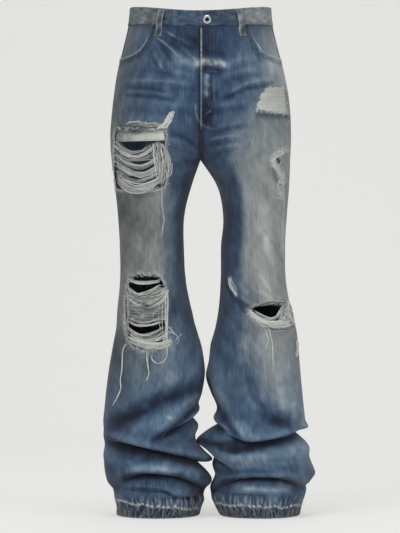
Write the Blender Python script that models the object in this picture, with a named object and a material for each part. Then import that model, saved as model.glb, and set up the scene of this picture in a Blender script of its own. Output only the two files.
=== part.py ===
"""Worn, ripped and stacked flared jeans with no wearer in them.

Frame: +Z up, the wearer faces -Y, the wearer's right leg is at -X.
The origin is the middle of the waist opening, half way up the waistband.
Lengths in the tables are millimetres and angles are degrees; the model is in metres.

The cloth is one surface per leg.  A point on it has a level (its height before
folding) and a turn: -1 at the inseam or centre front, 0 at the outseam, and 1 at
the inseam or centre back.  Each leg has a front grid and a back grid of points on
that surface, and every piece is a layer of a grid, moved along its normals.
"""

import bpy
import bmesh
import numpy as np

MM = 0.001

# Driving dimensions.
BAND_TOP = 18 * MM
BAND_BOTTOM = -18 * MM
FRONT_DIP = 8 * MM          # how far the waist seam is lower at the centre front
CROTCH = -292 * MM
RISE_HOOK = 115 * MM        # the rise starts to curve under this far above the crotch
STACK_TOP = -745 * MM       # below this level the legs are pushed into folds
HEM = -1014 * MM
DENIM = 1.5 * MM
POCKETING = 1.0 * MM
SEAM = 0.3 * MM
TRIM = 0.0008               # share of a half turn left open along each long seam
SIDES = {"right": -1, "left": 1}

# Unfolded shape from waist to hem: how far the cloth reaches forward, back, and out
# from the centre plane; below the crotch, also where each inseam lies.
LEVELS = (24, -18, -60, -113, -178, -243, -292, -341, -406, -471, -537, -602, -635,
          -667, -700, -733, -765, -798, -830, -863, -896, -929, -961, -994, -1020)
REACH_FRONT = (99, 102, 107, 111, 112, 110, 106, 101, 94, 87, 83, 86, 89,
               92, 95, 98, 101, 104, 108, 112, 116, 119, 116, 112, 109)
REACH_BACK = (103, 108, 119, 131, 134, 124, 109, 93, 79, 70, 70, 84, 92,
              98, 104, 108, 110, 112, 113, 113, 112, 111, 106, 100, 98)
REACH_OUT = {
    "right": (142, 147, 157, 170, 179, 184, 181, 175, 168, 164, 164, 170, 172,
              178, 184, 189, 193, 196, 199, 198, 197, 194, 183, 171, 170),
    "left": (142, 147, 157, 171, 182, 185, 183, 181, 176, 172, 174, 186, 195,
             199, 202, 205, 208, 211, 214, 215, 222, 232, 218, 206, 200),
}
INSEAM_LEVELS = LEVELS[6:]
INSEAM = {
    "right": (0, 17, 33, 34, 30, 17, 9, -1, -7, -9, -5, 9, 25, 17, -3, -19, -13, -3, 5),
    "left": (0, 32, 46, 42, 41, 36, 30, 21, 17, 11, 21, 34, 32, 4, 14, 29, 18, 29, 44),
}

# One row for each large fold.  The crease lies at level + rise on the outer side,
# level - rise on the inner side, level - lean in front, and bows by bow.  It is
# depth deep and tucked up by tuck, the cloth beside it rolls out by roll and closes
# over it by close, and it fades out reach degrees either side of its angle (-90 is
# the front).
FOLD_COLUMNS = ("level", "rise", "lean", "bow", "depth", "roll", "close", "tuck", "width", "angle", "reach")
FOLDS = {
    "right": (
        (-799, -43, -4, 0, 9, 3, 0, 2, 24, -95, 75),
        (-853, -35, 19, 0, 28, 8, 4, 15, 15, 188, 66),
        (-904, 25, -7, 1, 28, 9, 4, 17, 15, -60, 400),
        (-949, 4, 0, -14, 14, 5, 3, 10, 12, -105, 72),
        (-850, 8, 20, 0, 16, 5, 3, 9, 13, 90, 70),
        (-958, -6, 12, 0, 14, 5, 3, 9, 12, 70, 70),
    ),
    "left": (
        (-827, -20, -20, 0, 9, 3, 0, 2, 24, -55, 48),
        (-858, -18, 15, 0, 28, 8, 4, 15, 15, 188, 62),
        (-878, 9, -2, 6, 28, 9, 4, 17, 15, -20, 128),
        (-918, -25, 35, 0, 14, 5, 3, 8, 13, 178, 50),
        (-954, 0, 0, -12, 15, 6, 3, 11, 12, -88, 70),
        (-900, -6, 6, 0, 20, 6, 3, 12, 14, 120, 60),
        (-956, 6, 10, 0, 14, 5, 3, 9, 12, 60, 66),
    ),
}

# The front pocket mouth, from the waist seam to past the outseam, on either side.
POCKET_MOUTH = ((97, -6), (100, -26), (104, -41), (111, -58), (123, -74), (140, -83), (164, -89), (200, -92))

# Rips: middle, half size and roundness (2 is an ellipse, more is squarer).
RIP_COLUMNS = ("x", "z", "half_wide", "half_high", "roundness")
RIPS = {
    "thigh": ("right", (-125, -287, 49, 66, 3.4)),
    "knee_right": ("right", (-113, -601, 41, 74, 3.6)),
    "knee_left": ("left", (143, -607, 45, 27, 2.4)),
}
# Crescent gaps between the threads left in each rip: middle, half size, and how far the middle sags.
SLIT_COLUMNS = ("x", "z", "half_wide", "half_high", "sag")
SLITS = {
    "thigh": (
        (-126, -240, 43, 14.0, 0), (-139, -267, 26, 4.5, 7), (-136, -290, 25, 2.6, 9),
        (-133, -308, 27, 2.8, 11), (-134, -327, 29, 5.0, 13),
    ),
    "knee_right": (
        (-121, -536, 27, 3.0, 4), (-124, -551, 23, 4.8, 7), (-118, -622, 27, 2.6, -3),
        (-119, -640, 25, 6.0, 8), (-108, -660, 20, 2.4, 5),
    ),
    "knee_left": ((138, -602, 30, 10.0, 4), (143, -621, 22, 2.2, 6)),
}


def material(name, colour, roughness, metallic=0.0):
    made = bpy.data.materials.new(name)
    made.use_nodes = True
    shader = made.node_tree.nodes["Principled BSDF"]
    shader.inputs["Base Color"].default_value = (*colour, 1.0)
    shader.inputs["Roughness"].default_value = roughness
    shader.inputs["Metallic"].default_value = metallic
    return made


def through(at, known, values):
    """A smooth curve through the values at the known levels, read at the given levels."""
    known = np.array(known[::-1], float) * MM
    values = np.array(values[::-1], float) * MM
    slopes = np.gradient(values, known)
    spot = np.clip(np.searchsorted(known, at) - 1, 0, len(known) - 2)
    step = known[spot + 1] - known[spot]
    t = np.clip((at - known[spot]) / step, 0, 1)
    return (
        values[spot] * (1 + 2 * t) * (1 - t) ** 2
        + values[spot + 1] * t**2 * (3 - 2 * t)
        + step * t * (1 - t) * (slopes[spot] * (1 - t) - slopes[spot + 1] * t)
    )


def section(side, level):
    """Ring at each level: centre across, half width, centre fore and aft, half depth, and sweep."""
    level = np.asarray(level, float)
    on_leg = level < CROTCH
    outer, front, back = (through(level, LEVELS, k) for k in (REACH_OUT[side], REACH_FRONT, REACH_BACK))
    inner = np.where(on_leg, through(level, INSEAM_LEVELS, INSEAM[side]), 0)
    closing = np.clip(1 - (level - CROTCH) / RISE_HOOK, 0, 1)
    centre = np.where(on_leg, (outer + inner) / 2, outer * closing / (1 + closing))
    sweep = np.where(on_leg, np.pi, np.arccos(-closing))
    return centre, outer - centre, (back - front) / 2, (back + front) / 2, sweep


def fold_shift(side, level, angle):
    """How far the folds push each point outwards and upwards."""
    out = np.zeros(level.shape)
    up = np.zeros(level.shape)
    for row in FOLDS[side]:
        fold = dict(zip(FOLD_COLUMNS, row))
        size = {k: fold[k] * MM for k in FOLD_COLUMNS[:9]}
        crease = size["level"] + size["rise"] * np.cos(angle) + size["lean"] * np.sin(angle)
        crease = crease + size["bow"] * np.cos(2 * angle)
        away = (np.degrees(angle) - fold["angle"] + 180) % 360 - 180
        share = np.exp(-((away / fold["reach"]) ** 4))
        x = (crease - level) / size["width"]
        trough = -size["depth"] * np.exp(-(x**2))
        rolls = np.exp(-(((x + 1.5) / 0.8) ** 2)) + 0.7 * np.exp(-(((x - 1.5) / 0.8) ** 2))
        out += share * (trough + size["roll"] * rolls)
        up += share * (size["tuck"] + size["close"] * 2.33 * x) * np.exp(-(x**2))
    return out, up


def surface(side, level, angle):
    """Points of the folded cloth at each level and angle round the leg."""
    centre, half_wide, middle, half_deep, _ = section(side, level)
    out, up = fold_shift(side, level, angle)
    across, along = np.cos(angle) * half_deep, np.sin(angle) * half_wide
    reach = out / np.hypot(across, along)
    x = centre + half_wide * np.cos(angle) + reach * across + SEAM / 2
    y = middle + half_deep * np.sin(angle) + reach * along
    dip = FRONT_DIP * np.clip(-np.sin(angle), 0, 1) ** 3 * np.clip(1 + (level - BAND_BOTTOM) / (150 * MM), 0, 1.6)
    return np.stack([SIDES[side] * x, y, level + up - dip], axis=-1)


def cloth_grid(side, levels, turns):
    """A grid of points on the cloth, rows down and columns round, with its outward normals."""
    level, turn = np.meshgrid(levels, turns, indexing="ij")
    angle = turn * section(side, level)[-1]
    step = 0.1 * MM
    down = surface(side, level - step, angle) - surface(side, level + step, angle)
    round_it = surface(side, level, angle + 0.001) - surface(side, level, angle - 0.001)
    normals = np.cross(down, round_it) * SIDES[side]
    normals /= np.linalg.norm(normals, axis=-1, keepdims=True)
    return {"levels": levels, "turns": turns, "points": surface(side, level, angle), "normals": normals}


def part_of(grid, rows=slice(None), columns=slice(None)):
    """Some rows and columns of a grid."""
    return {
        "levels": grid["levels"][rows], "turns": grid["turns"][columns],
        "points": grid["points"][rows, columns], "normals": grid["normals"][rows, columns],
    }


def layer(name, grid, outer, inner, finish):
    """A wall between two distances out from the grid's own points, closed along its edges."""
    rows, columns = grid["points"].shape[:2]
    size = rows * columns
    points = np.concatenate([
        (grid["points"] + grid["normals"] * lift).reshape(size, 3) for lift in (outer, inner)
    ])
    index = np.arange(size).reshape(rows, columns)
    quads = np.stack([index[:-1, :-1], index[1:, :-1], index[1:, 1:], index[:-1, 1:]], axis=-1).reshape(-1, 4)
    halves = np.concatenate([quads[:, [0, 1, 2]], quads[:, [0, 2, 3]]])
    edge = np.concatenate([index[0, ::-1], index[1:, 0], index[-1, 1:], index[-2:0:-1, -1]])
    near = np.roll(edge, -1)
    rim = np.concatenate([
        np.stack([edge, edge + size, near + size], axis=-1), np.stack([edge, near + size, near], axis=-1)
    ])
    shape = bmesh.new()
    corners = [shape.verts.new(p) for p in points.tolist()]
    for triangle in np.concatenate([halves, halves[:, ::-1] + size, rim]).tolist():
        shape.faces.new([corners[k] for k in triangle]).smooth = True
    if shape.calc_volume(signed=True) < 0:
        bmesh.ops.reverse_faces(shape, faces=shape.faces)
    mesh = bpy.data.meshes.new(name)
    shape.to_mesh(mesh)
    shape.free()
    mesh.materials.append(finish)
    made = bpy.data.objects.new(name, mesh)
    bpy.context.scene.collection.objects.link(made)
    return made


def prism(name, outline, near, far):
    """A hidden cutter: an outline in X and Z, run from near to far along Y."""
    shape = bmesh.new()
    ends = [[shape.verts.new((x, y, z)) for x, z in outline] for y in (near, far)]
    shape.faces.new(ends[0])
    shape.faces.new(ends[1][::-1])
    for k in range(len(outline)):
        j = (k + 1) % len(outline)
        shape.faces.new((ends[0][j], ends[0][k], ends[1][k], ends[1][j]))
    bmesh.ops.recalc_face_normals(shape, faces=shape.faces)
    mesh = bpy.data.meshes.new(name)
    shape.to_mesh(mesh)
    shape.free()
    made = bpy.data.objects.new(name, mesh)
    bpy.context.scene.collection.objects.link(made)
    made.hide_render = True
    made.display_type = "WIRE"
    return made


def cut(made, cutter, operation="DIFFERENCE"):
    step = made.modifiers.new(cutter.name, "BOOLEAN")
    step.operation = operation
    step.object = cutter


def rip_outline(row, inset=0.0, corners=16):
    """A rounded outline round the rip's middle, drawn in by inset."""
    rip = dict(zip(RIP_COLUMNS, row))
    angle = (np.arange(corners) + 0.5) * 2 * np.pi / corners
    power = 2 / rip["roundness"]
    wide = rip["half_wide"] * MM - inset
    high = rip["half_high"] * MM - inset
    x = rip["x"] * MM + wide * np.sign(np.cos(angle)) * np.abs(np.cos(angle)) ** power
    z = rip["z"] * MM + high * np.sign(np.sin(angle)) * np.abs(np.sin(angle)) ** power
    return list(zip(x.tolist(), z.tolist()))


def slit_outline(row, steps=6):
    """A crescent: both edges sag in the middle, the lower one further."""
    slit = {k: v * MM for k, v in zip(SLIT_COLUMNS, row)}
    share = np.linspace(-1, 1, steps + 1)
    middle = slit["z"] + slit["sag"] * (share**2 - 0.5)
    half = slit["half_high"] * (1 - share**2)
    x = slit["x"] + slit["half_wide"] * share
    upper = list(zip(x.tolist(), (middle + half).tolist()))
    lower = list(zip(x.tolist(), (middle - half).tolist()))
    return upper + lower[-2:0:-1]


def leg_grids(side):
    """The front and the back grid of one leg: rows are closer in the rise and in the stack."""
    hook = CROTCH + RISE_HOOK * (1 - np.cos(np.linspace(np.pi / 2, 0, 6)))
    stack = np.linspace(STACK_TOP, HEM, 30)[1:]
    waist = np.array([BAND_BOTTOM - SEAM, -50 * MM, -82 * MM, -113 * MM, -145 * MM])
    thigh = np.array([-306, -325, -350, -385, -430, -490, -550, -610, -670, -710, -745]) * MM
    levels = np.concatenate([waist, hook, thigh, stack])
    front = cloth_grid(side, levels, np.linspace(-1 + TRIM, -TRIM, 11))
    back = cloth_grid(side, levels, np.linspace(TRIM, 1 - TRIM, 9))
    return front, back


def yoke_line(side, shift):
    """Across and level of the seam under the yoke, lower at the centre back."""
    sign = SIDES[side]
    return [(sign * -5 * MM, -84 * MM + shift), (sign * 220 * MM, -44 * MM + shift)]


def build_back(side, grid, denim):
    """Yoke and back panel of one side, from the same grid, parted along the yoke seam."""
    sign = SIDES[side]
    upper = [(sign * 220 * MM, 60 * MM), (sign * -5 * MM, 60 * MM)]
    lower = [(sign * 220 * MM, -160 * MM), (sign * -5 * MM, -160 * MM)]
    yoke = layer(f"yoke_{side}", part_of(grid, slice(0, 4)), 0, -DENIM, denim)
    cut(yoke, prism(f"below_yoke_{side}", yoke_line(side, SEAM / 2) + lower, -40 * MM, 190 * MM))
    back = layer(f"back_{side}", part_of(grid, slice(1, None)), 0, -DENIM, denim)
    cut(back, prism(f"above_back_{side}", yoke_line(side, -SEAM / 2) + upper, -40 * MM, 190 * MM))


def build_front_pocket(side, grid, front, denim, cotton):
    """Cuts the pocket mouth out of the front panel, with a facing and a bag behind it."""
    sign = SIDES[side]
    mouth = [(sign * x * MM, z * MM) for x, z in POCKET_MOUTH]
    cut(front, prism(f"mouth_{side}", mouth + [(sign * 200 * MM, 20 * MM), (sign * 97 * MM, 20 * MM)], -150 * MM, 60 * MM))
    behind = -DENIM - SEAM
    facing = layer(f"pocket_facing_{side}", part_of(grid, slice(0, 5), slice(3, None)), behind, behind - DENIM, denim)
    below = [(sign * 84 * MM, 30 * MM), (sign * 84 * MM, -74 * MM), (sign * 112 * MM, -98 * MM),
             (sign * 200 * MM, -110 * MM), (sign * 210 * MM, 30 * MM)]
    cut(facing, prism(f"facing_shape_{side}", below, -150 * MM, 60 * MM), "INTERSECT")
    behind = behind - DENIM - SEAM
    bag = layer(f"pocket_bag_{side}", part_of(grid, slice(0, 9), slice(3, None)), behind, behind - POCKETING, cotton)
    shape = [(sign * 64 * MM, 30 * MM), (sign * 64 * MM, -240 * MM), (sign * 72 * MM, -255 * MM),
             (sign * 210 * MM, -257 * MM), (sign * 210 * MM, 30 * MM)]
    cut(bag, prism(f"bag_shape_{side}", shape, -150 * MM, 60 * MM), "INTERSECT")


def build_back_pocket(side, grid, denim):
    """A plain five-sided patch pocket on the back panel."""
    sign = SIDES[side]
    pocket = layer(f"back_pocket_{side}", part_of(grid, slice(2, 8), slice(0, 9)), SEAM + DENIM, SEAM, denim)
    shape = ((32, -98), (40, -214), (88, -238), (138, -216), (152, -92))
    outline = [(sign * x * MM, z * MM) for x, z in shape]
    cut(pocket, prism(f"pocket_shape_{side}", outline, 20 * MM, 190 * MM), "INTERSECT")


def build_fly_facing(grid, denim):
    """The strip sewn behind the left front's edge, rounded off at its lower end."""
    strip = part_of(grid, slice(0, 9), slice(0, 5))
    behind = -DENIM - SEAM
    facing = layer("fly_facing", strip, behind, behind - DENIM, denim)
    bend = np.linspace(0, np.pi / 2, 6)
    round_end = [(0.004 + 0.032 * np.cos(a), -0.170 - 0.036 * np.sin(a)) for a in bend.tolist()]
    outline = [(0.0004, -0.206), (0.0004, 0.03), (0.036, 0.03)] + round_end[:-1]
    cut(facing, prism("fly_shape", outline, -150 * MM, 0), "INTERSECT")


def band_grid(first, last, columns):
    """A grid round the waist between two angles; where it passes under its own end it tucks in."""
    degrees = np.linspace(first, last, columns)
    level, angle = np.meshgrid(np.array([BAND_TOP, 0, BAND_BOTTOM]), np.radians(degrees), indexing="ij")
    _, half_wide, middle, half_deep, _ = section("left", level)
    dip = FRONT_DIP * np.clip(-np.sin(angle), 0, 1) ** 3 * (1 + (level - BAND_BOTTOM) / (60 * MM))
    x = half_wide * np.cos(angle)
    y = middle + half_deep * np.sin(angle)
    across, along = np.cos(angle) * half_deep, np.sin(angle) * half_wide
    normals = np.stack([across, along, 0 * across], axis=-1)
    normals /= np.linalg.norm(normals, axis=-1, keepdims=True)
    tuck = np.clip((degrees - first - 332) / 24, 0, 1)
    tuck = 3.2 * MM * (tuck * tuck * (3 - 2 * tuck))[None, :, None]
    points = np.stack([x, y, level - dip], axis=-1) - normals * tuck
    return {"levels": level[:, 0], "turns": degrees, "points": points, "normals": normals}


def facet(grid, level, turn, lift):
    """A point over the grid's flat facets, moved out by lift."""
    row = np.interp(-level, -grid["levels"], np.arange(len(grid["levels"])))
    column = np.interp(turn, grid["turns"], np.arange(len(grid["turns"])))
    r = min(int(row), len(grid["levels"]) - 2)
    c = min(int(column), len(grid["turns"]) - 2)
    corners = [grid[k][r:r + 2, c:c + 2] for k in ("points", "normals")]
    share = np.array([[(1 - row + r) * (1 - column + c), (1 - row + r) * (column - c)],
                      [(row - r) * (1 - column + c), (row - r) * (column - c)]])
    point, normal = ((share[..., None] * corner).sum(axis=(0, 1)) for corner in corners)
    return point + normal / np.linalg.norm(normal) * lift, normal


# Level and lift of a belt loop's inner face, over the waistband and then over the cloth below it.
LOOP_ROWS = ((17, 1.6), (11, 6.4), (-2, 7.8), (-14, 7.0), (-23, 3.0), (-29, 0.35), (-42, 0.35))


def build_loop(name, band, panel, angle, slant, denim):
    """A belt loop centred at an angle round the waist, leaning by slant degrees on its way down."""
    points, normals = [], []
    for level, lift in LOOP_ROWS:
        lean = slant * (17 - level) / 59
        half = np.degrees(7.0 / 140)
        for edge in (-half, half):
            at = angle + lean + edge
            if level > -18:
                point, normal = facet(band, level * MM, at % 360 if at < -92 else at, lift * MM)
            else:
                turn = at / 90 if abs(at) <= 90 else -(180 - abs(at)) / 90 * (1 if at < 0 else -1)
                point, normal = facet(panel, level * MM, turn, lift * MM)
            points.append(point)
            normals.append(normal)
    rows = len(LOOP_ROWS)
    grid = {
        "levels": np.arange(rows), "turns": np.arange(2),
        "points": np.array(points).reshape(rows, 2, 3), "normals": np.array(normals).reshape(rows, 2, 3),
    }
    layer(name, grid, DENIM, 0, denim)


def build_centre_loop(band, denim):
    """The belt loop on the centre back, over the seam between the two yokes."""
    rows = []
    for level, lift in LOOP_ROWS:
        _, _, middle, half_deep, _ = section("left", np.array(level * MM))
        rows.append([(x, float(middle + half_deep) + lift * MM, level * MM) for x in (7 * MM, -7 * MM)])
    points = np.array(rows)
    normals = np.zeros_like(points)
    normals[..., 1] = 1
    grid = {"levels": np.arange(len(rows)), "turns": np.arange(2), "points": points, "normals": normals}
    layer("belt_loop_back_centre", grid, DENIM, 0, denim)


def build_button(band, metal):
    """A ring-topped jeans button, turned about the axis that points forward."""
    profile = ((0, 0), (4.0, 0), (4.0, 1.0), (8.3, 1.4), (8.5, 2.4), (7.4, 3.4), (4.6, 3.4), (3.0, 1.8), (0, 1.6))
    seat, _ = facet(band, -4 * MM, -90 + 5.2, 1.7 * MM)
    shape = bmesh.new()
    ring = [shape.verts.new((r * MM, 0, h * MM)) for r, h in profile]
    edges = [shape.edges.new(pair) for pair in zip(ring, ring[1:])]
    bmesh.ops.spin(shape, geom=ring + edges, cent=(0, 0, 0), axis=(0, 0, 1), angle=2 * np.pi, steps=20)
    bmesh.ops.remove_doubles(shape, verts=shape.verts, dist=0.02 * MM)
    bmesh.ops.recalc_face_normals(shape, faces=shape.faces)
    mesh = bpy.data.meshes.new("waist_button")
    shape.to_mesh(mesh)
    shape.free()
    mesh.shade_smooth()
    mesh.set_sharp_from_angle(angle=np.radians(40))
    mesh.materials.append(metal)
    made = bpy.data.objects.new("waist_button", mesh)
    made.rotation_euler = (np.pi / 2, 0, 0)
    made.location = seat.tolist()
    bpy.context.scene.collection.objects.link(made)


def build_rip(name, grid, front, yarn):
    """Cuts the rip through the front panel and fills it with its threads as one slit wall."""
    _, row = RIPS[name]
    near, far = -170 * MM, -12 * MM
    cut(front, prism(f"cut_{name}", rip_outline(row), near, far))
    rip = {k: v * MM for k, v in zip(RIP_COLUMNS, row)}
    reach = rip["half_high"] + 52 * MM
    rows = np.nonzero(np.abs(grid["levels"] - rip["z"]) < reach)[0]
    strip = part_of(grid, slice(rows[0], rows[-1] + 1), slice(3, None))
    web = layer(f"weft_web_{name}", strip, -0.2 * MM, -1.3 * MM, yarn)
    cut(web, prism(f"keep_{name}", rip_outline(row, inset=0.35 * MM), near, far - 0.4 * MM), "INTERSECT")
    for k, slit in enumerate(SLITS[name]):
        cut(web, prism(f"slit_{name}_{k}", slit_outline(slit), near, far + 4 * MM))


def main():
    for old in list(bpy.data.objects):
        bpy.data.objects.remove(old)
    denim = material("washed_denim", (0.10, 0.15, 0.22), 0.9)
    faded = material("faded_denim", (0.16, 0.18, 0.19), 0.9)
    cotton = material("pocket_cotton", (0.42, 0.44, 0.40), 0.9)
    yarn = material("weft_yarn", (0.42, 0.42, 0.40), 0.95)
    metal = material("button_metal", (0.55, 0.56, 0.58), 0.35, 1.0)
    band = band_grid(-91.2, -91.2 + 376, 45)
    layer("waistband", band, 1.2 * MM, -1.4 * MM, faded)
    grids = {side: leg_grids(side) for side in SIDES}
    fronts = {}
    for side, (front, back) in grids.items():
        fronts[side] = layer(f"front_{side}", front, 0, -DENIM, denim)
        build_front_pocket(side, front, fronts[side], faded, cotton)
        build_back(side, back, denim)
        build_back_pocket(side, back, denim)
    for name, (side, _) in RIPS.items():
        build_rip(name, grids[side][0], fronts[side], yarn)
    build_fly_facing(grids["left"][0], denim)
    build_loop("belt_loop_front_left", band, grids["left"][0], -58, 2.5, faded)
    build_loop("belt_loop_front_right", band, grids["right"][0], -122, -2.5, faded)
    build_loop("belt_loop_back_left", band, grids["left"][1], 48, 0, denim)
    build_loop("belt_loop_back_right", band, grids["right"][1], 132, 0, denim)
    build_centre_loop(band, denim)
    build_button(band, metal)


main()
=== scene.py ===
import bpy
import math
import numpy as np
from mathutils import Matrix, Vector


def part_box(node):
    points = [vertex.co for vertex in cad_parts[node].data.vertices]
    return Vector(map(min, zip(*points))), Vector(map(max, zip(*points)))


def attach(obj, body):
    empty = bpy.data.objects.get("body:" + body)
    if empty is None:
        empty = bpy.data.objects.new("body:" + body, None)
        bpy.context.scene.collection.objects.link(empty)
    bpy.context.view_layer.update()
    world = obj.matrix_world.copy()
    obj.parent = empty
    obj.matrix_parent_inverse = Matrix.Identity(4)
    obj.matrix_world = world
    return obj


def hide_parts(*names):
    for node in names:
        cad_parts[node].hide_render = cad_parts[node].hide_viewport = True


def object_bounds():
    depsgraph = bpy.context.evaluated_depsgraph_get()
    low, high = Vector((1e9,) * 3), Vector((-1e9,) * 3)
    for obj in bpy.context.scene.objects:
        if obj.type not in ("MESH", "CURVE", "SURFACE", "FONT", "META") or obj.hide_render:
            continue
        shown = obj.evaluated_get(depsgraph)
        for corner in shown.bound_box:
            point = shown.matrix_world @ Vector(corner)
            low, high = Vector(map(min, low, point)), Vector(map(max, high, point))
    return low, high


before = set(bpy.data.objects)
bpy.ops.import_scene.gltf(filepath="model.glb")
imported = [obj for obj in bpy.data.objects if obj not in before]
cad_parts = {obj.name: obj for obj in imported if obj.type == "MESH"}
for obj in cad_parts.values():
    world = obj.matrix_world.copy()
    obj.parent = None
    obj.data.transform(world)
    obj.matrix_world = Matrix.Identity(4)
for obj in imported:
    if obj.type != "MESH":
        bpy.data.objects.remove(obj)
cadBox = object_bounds()

mm = 0.001
seam = 0.3 * mm
sideSign = {"right": -1, "left": 1}

# How far the cloth reaches forward, back and out from the centre plane at each level,
# and where the inseam lies below the crotch.
form = {
    "bandTop": 18,
    "bandBottom": -18,
    "frontDip": 8,       # the waist seam is this much lower at the centre front
    "crotch": -292,
    "riseHook": 115,     # the rise starts to curve under this far above the crotch
    "hem": -1014,
    "cloth": 1.4,        # thickness
    "clothFade": 150,    # the dip fades out over this far below the waist seam
    "bandFade": 60,      # and grows by its own depth over this far above it
    "centreGap": 0.005,  # keeps the two sides from sharing points at the centre
    "levels": (24, -18, -60, -113, -178, -243, -292, -341, -406, -471, -537, -602, -635,
               -667, -700, -733, -765, -798, -830, -863, -896, -929, -961, -994, -1020),
    "reachFront": (99, 102, 107, 111, 112, 110, 106, 101, 94, 87, 83, 86, 89,
                   92, 95, 98, 101, 104, 108, 112, 116, 119, 116, 112, 109),
    "reachBack": (103, 108, 119, 131, 134, 124, 109, 93, 79, 70, 70, 84, 92,
                  98, 104, 108, 110, 112, 113, 113, 112, 111, 106, 100, 98),
    "reachOut": {
        "right": (142, 147, 157, 170, 179, 184, 181, 175, 168, 164, 164, 170, 172,
                  178, 184, 189, 193, 196, 199, 198, 197, 194, 183, 171, 170),
        "left": (142, 147, 157, 171, 182, 185, 183, 181, 176, 172, 174, 186, 195,
                 199, 202, 205, 208, 211, 214, 215, 222, 232, 218, 206, 200),
    },
    "inseam": {
        "right": (0, 17, 33, 34, 30, 17, 9, -1, -7, -9, -5, 8, 8, 8, -16, -20, -14, -3, 5),
        "left": (0, 32, 46, 42, 41, 36, 30, 21, 17, 11, 21, 34, 27, 0, 20, 30, 19, 29, 44),
    },
}

# One row for each stacked fold: level, then its rise to the outer side, its lean to the
# back and its bow; its depth, the roll above it, how far it closes and tucks up, its
# width; and the angle it is centred on (-90 is the front) with its reach to either side.
foldColumns = ("level", "rise", "lean", "bow", "depth", "roll", "close", "tuck", "width", "angle", "reach")
folds = {
    "right": (
        (-799, -43, -4, 0, 9, 3, 0, 2, 24, -95, 75),
        (-853, -35, 19, 0, 28, 8, 4, 15, 11, 188, 60),
        (-898, 25, -7, 1, 28, 9, 4, 17, 13, -132, 106),
        (-949, 4, 0, -14, 17, 5, 3, 10, 11, -105, 72),
        (-962, 2, 0, 0, 6, 2, 2, 3, 6, -70, 50),
        (-978, -4, 0, 0, 6, 2, 2, 3, 6, -135, 45),
        (-850, 8, 20, 0, 16, 5, 3, 9, 13, 90, 70),
        (-958, -6, 12, 0, 14, 5, 3, 9, 12, 70, 70),
    ),
    "left": (
        (-827, -20, -20, 0, 9, 3, 0, 2, 24, -55, 48),
        (-858, -18, 15, 0, 28, 8, 4, 15, 15, 188, 62),
        (-872, 9, -2, 6, 28, 9, 4, 17, 13, -20, 128),
        (-918, -25, 35, 0, 14, 5, 3, 8, 13, 178, 50),
        (-953, 0, 0, -12, 17, 6, 3, 11, 10, -88, 70),
        (-969, 0, 0, 0, 6, 2, 2, 3, 7, -130, 42),
        (-900, -6, 6, 0, 20, 6, 3, 12, 14, 120, 60),
        (-956, 6, 10, 0, 14, 5, 3, 9, 12, 60, 66),
    ),
}

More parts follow.
